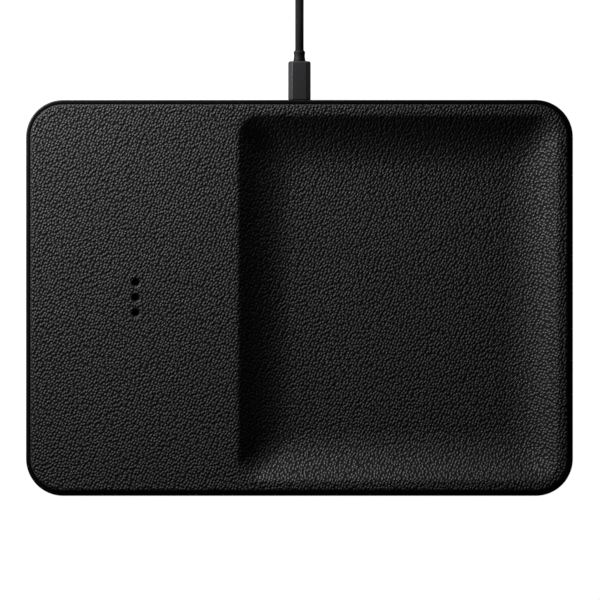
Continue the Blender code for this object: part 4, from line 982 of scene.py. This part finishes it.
# %% Press stud
# Dark nickel: a thin bright plating over a stamped brass cap, a little cloudy from handling
dark_nickel = grained("dark nickel plating", "#4A4A4C", "#5E5E60", 0.5 * MM, (0.22, 0.34), 0.01 * MM,
                      also=METAL)
STUD_RADIUS = 3.5 * MM
section = [(STUD_RADIUS - 0.15 * MM, 0), (STUD_RADIUS, 0.15 * MM), (STUD_RADIUS - 0.05 * MM, 0.35 * MM),
           (STUD_RADIUS - 0.4 * MM, 0.6 * MM), (STUD_RADIUS - 0.65 * MM, 0.55 * MM)]
for turn in arc(60, 4, 6):
    section.append(((STUD_RADIUS - 0.75 * MM) * math.sin(turn) / math.sin(math.radians(60)),
                    0.5 * MM + 0.5 * MM * (math.cos(turn) - 0.5) / 0.5))
rings = [circle(radius, height, 40) for radius, height in section]
stud_seat = loop_far + TIE_THICK + REST_GAP
stud_place = (TIE_PLACE @ Matrix.Translation((0, 0, loop_centre.y)) @ Matrix.Rotation(math.pi / 2, 4, "Y")
              @ Matrix.Translation((0, 0, stud_seat)))
stud = piece("press_stud", solid(rings), dark_nickel, "cable", 50, stud_place)
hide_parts("tie_stud")

# %% [markdown]
# ## Inside and underneath
# The parts under the leather keep the shapes of the mechanical model: mouldings, screws, boards and
# what is soldered to them. Each still gets the finish that it is really made with, because the model
# can be taken apart. Most of these finishes are two near tones with a fine grain, so they share the
# helper above. The circuit board and the light pipe work differently and have their own trees.

# %% Materials of the inner parts
# ABS: satin black, with the spark-eroded texture of its mould
abs_plastic = grained("moulded ABS", "#17171A", "#232326", 0.25 * MM, (0.42, 0.58), 0.03 * MM)
# Zinc plating: bluish silver, bright, with a slightly mottled passivation
zinc = grained("zinc-plated steel", "#9EA3A8", "#BFC4C8", 0.6 * MM, (0.25, 0.4), 0.015 * MM, also=METAL)
# Sintered ferrite: a dull charcoal ceramic, rough like fine stone
ferrite = grained("sintered ferrite", "#232325", "#343436", 0.3 * MM, (0.7, 0.9), 0.05 * MM)
# Epoxy moulding compound: the matt black body of a chip, with a fine laser-blasted face
resin = grained("epoxy moulding compound", "#1A1B1D", "#252629", 0.15 * MM, (0.5, 0.65), 0.02 * MM)
# Metallised film in an epoxy dip: opaque ochre, smooth and half glossy
film = grained("epoxy-dipped film capacitor", "#B08A2E", "#C79E3C", 1.2 * MM, (0.25, 0.4), 0.02 * MM)
# Natural nylon 66: milky white, waxy
nylon = grained("natural nylon 66", "#E2DFD2", "#EFECE2", 0.8 * MM, (0.35, 0.5), 0.01 * MM)
# Heat-shrunk polyolefin: satin black, slightly rippled where it has drawn tight
sleeve = grained("heat-shrunk polyolefin", "#121214", "#1F1F21", 1.6 * MM, (0.35, 0.55), 0.06 * MM)
# Drawn stainless steel: the socket's shell, bright with faint drawing marks
stainless = grained("drawn stainless steel", "#A9A7A2", "#C4C2BD", 0.2 * MM, (0.2, 0.32), 0.01 * MM,
                    also=METAL)
# Liquid crystal polymer: the socket's tongue, flat black
polymer = grained("liquid crystal polymer", "#0F0F10", "#1A1A1B", 0.2 * MM, (0.5, 0.7), 0.02 * MM)
# Moulded silicone lens over the light: milky and soft
lens = grained("diffusing silicone lens", "#DADAD2", "#ECECE6", 0.3 * MM, (0.3, 0.45), 0.01 * MM)

# Solder resist over woven glass: the glass cloth shows faintly as a fine grid under the lacquer
resist, tree, shader = new_material("black solder resist on woven glass")
spot = add(tree, "TexCoord")
GLASS_CLOTH = 0.5 * MM
warp, weft = (add(tree, "TexWave", {"Vector": spot.outputs["Object"], "Scale": 0.314 / GLASS_CLOTH},
                  bands_direction=way).outputs["Fac"] for way in "XY")
cloth = add(tree, "Math", {0: warp, 1: weft}, operation="MULTIPLY")
surface(shader, cloth, ("#101512", "#1B221E"), (0.25, 0.35), (0.3, 0.02 * MM))

# Acrylic: clear, a little frosted on its sawn and polished end, with faint flow lines
acrylic, tree, shader = new_material("polished clear acrylic")
spot = add(tree, "TexCoord")
flow = add(tree, "TexNoise", {"Vector": spot.outputs["Object"], "Scale": 1 / (0.3 * MM), "Detail": 1.0})
tint = add(tree, "Mix", {"Factor": flow, "A": colour("#E6EAEA"), "B": colour("#F4F6F6")},
           data_type="RGBA")
frost = add(tree, "MapRange", {"Value": flow, "To Min": 0.08, "To Max": 0.2})
connect(shader, {"Base Color": tint.outputs["Result"], "Roughness": frost, "IOR": 1.49,
                 "Transmission Weight": 0.7})

# %% Give each inner part its finish
FINISHES = {
    "base_plate": abs_plastic, "top_shell": abs_plastic, "coil_bracket": abs_plastic, "base_screw": zinc,
    "bracket_screw": zinc, "board_screw": zinc, "port_screw": zinc, "ferrite_sheet": ferrite,
    "power_inductor": ferrite, "controller_chip": resin, "thermistor": resin, "status_led": lens,
    "resonance_capacitor": film, "board_connector": nylon, "coil_lead": litz, "wiring_harness": sleeve,
    "main_board": resist, "port_board": resist, "port_shell": stainless, "port_tongue": polymer,
    "light_pipe": acrylic,
}
finished = 0
for start, finish in FINISHES.items():
    for name, node in nodes.items():
        if name.startswith(start):
            for material_slot in node.material_slots:
                material_slot.material = finish
            finished += 1
print("inner parts finished:", finished)
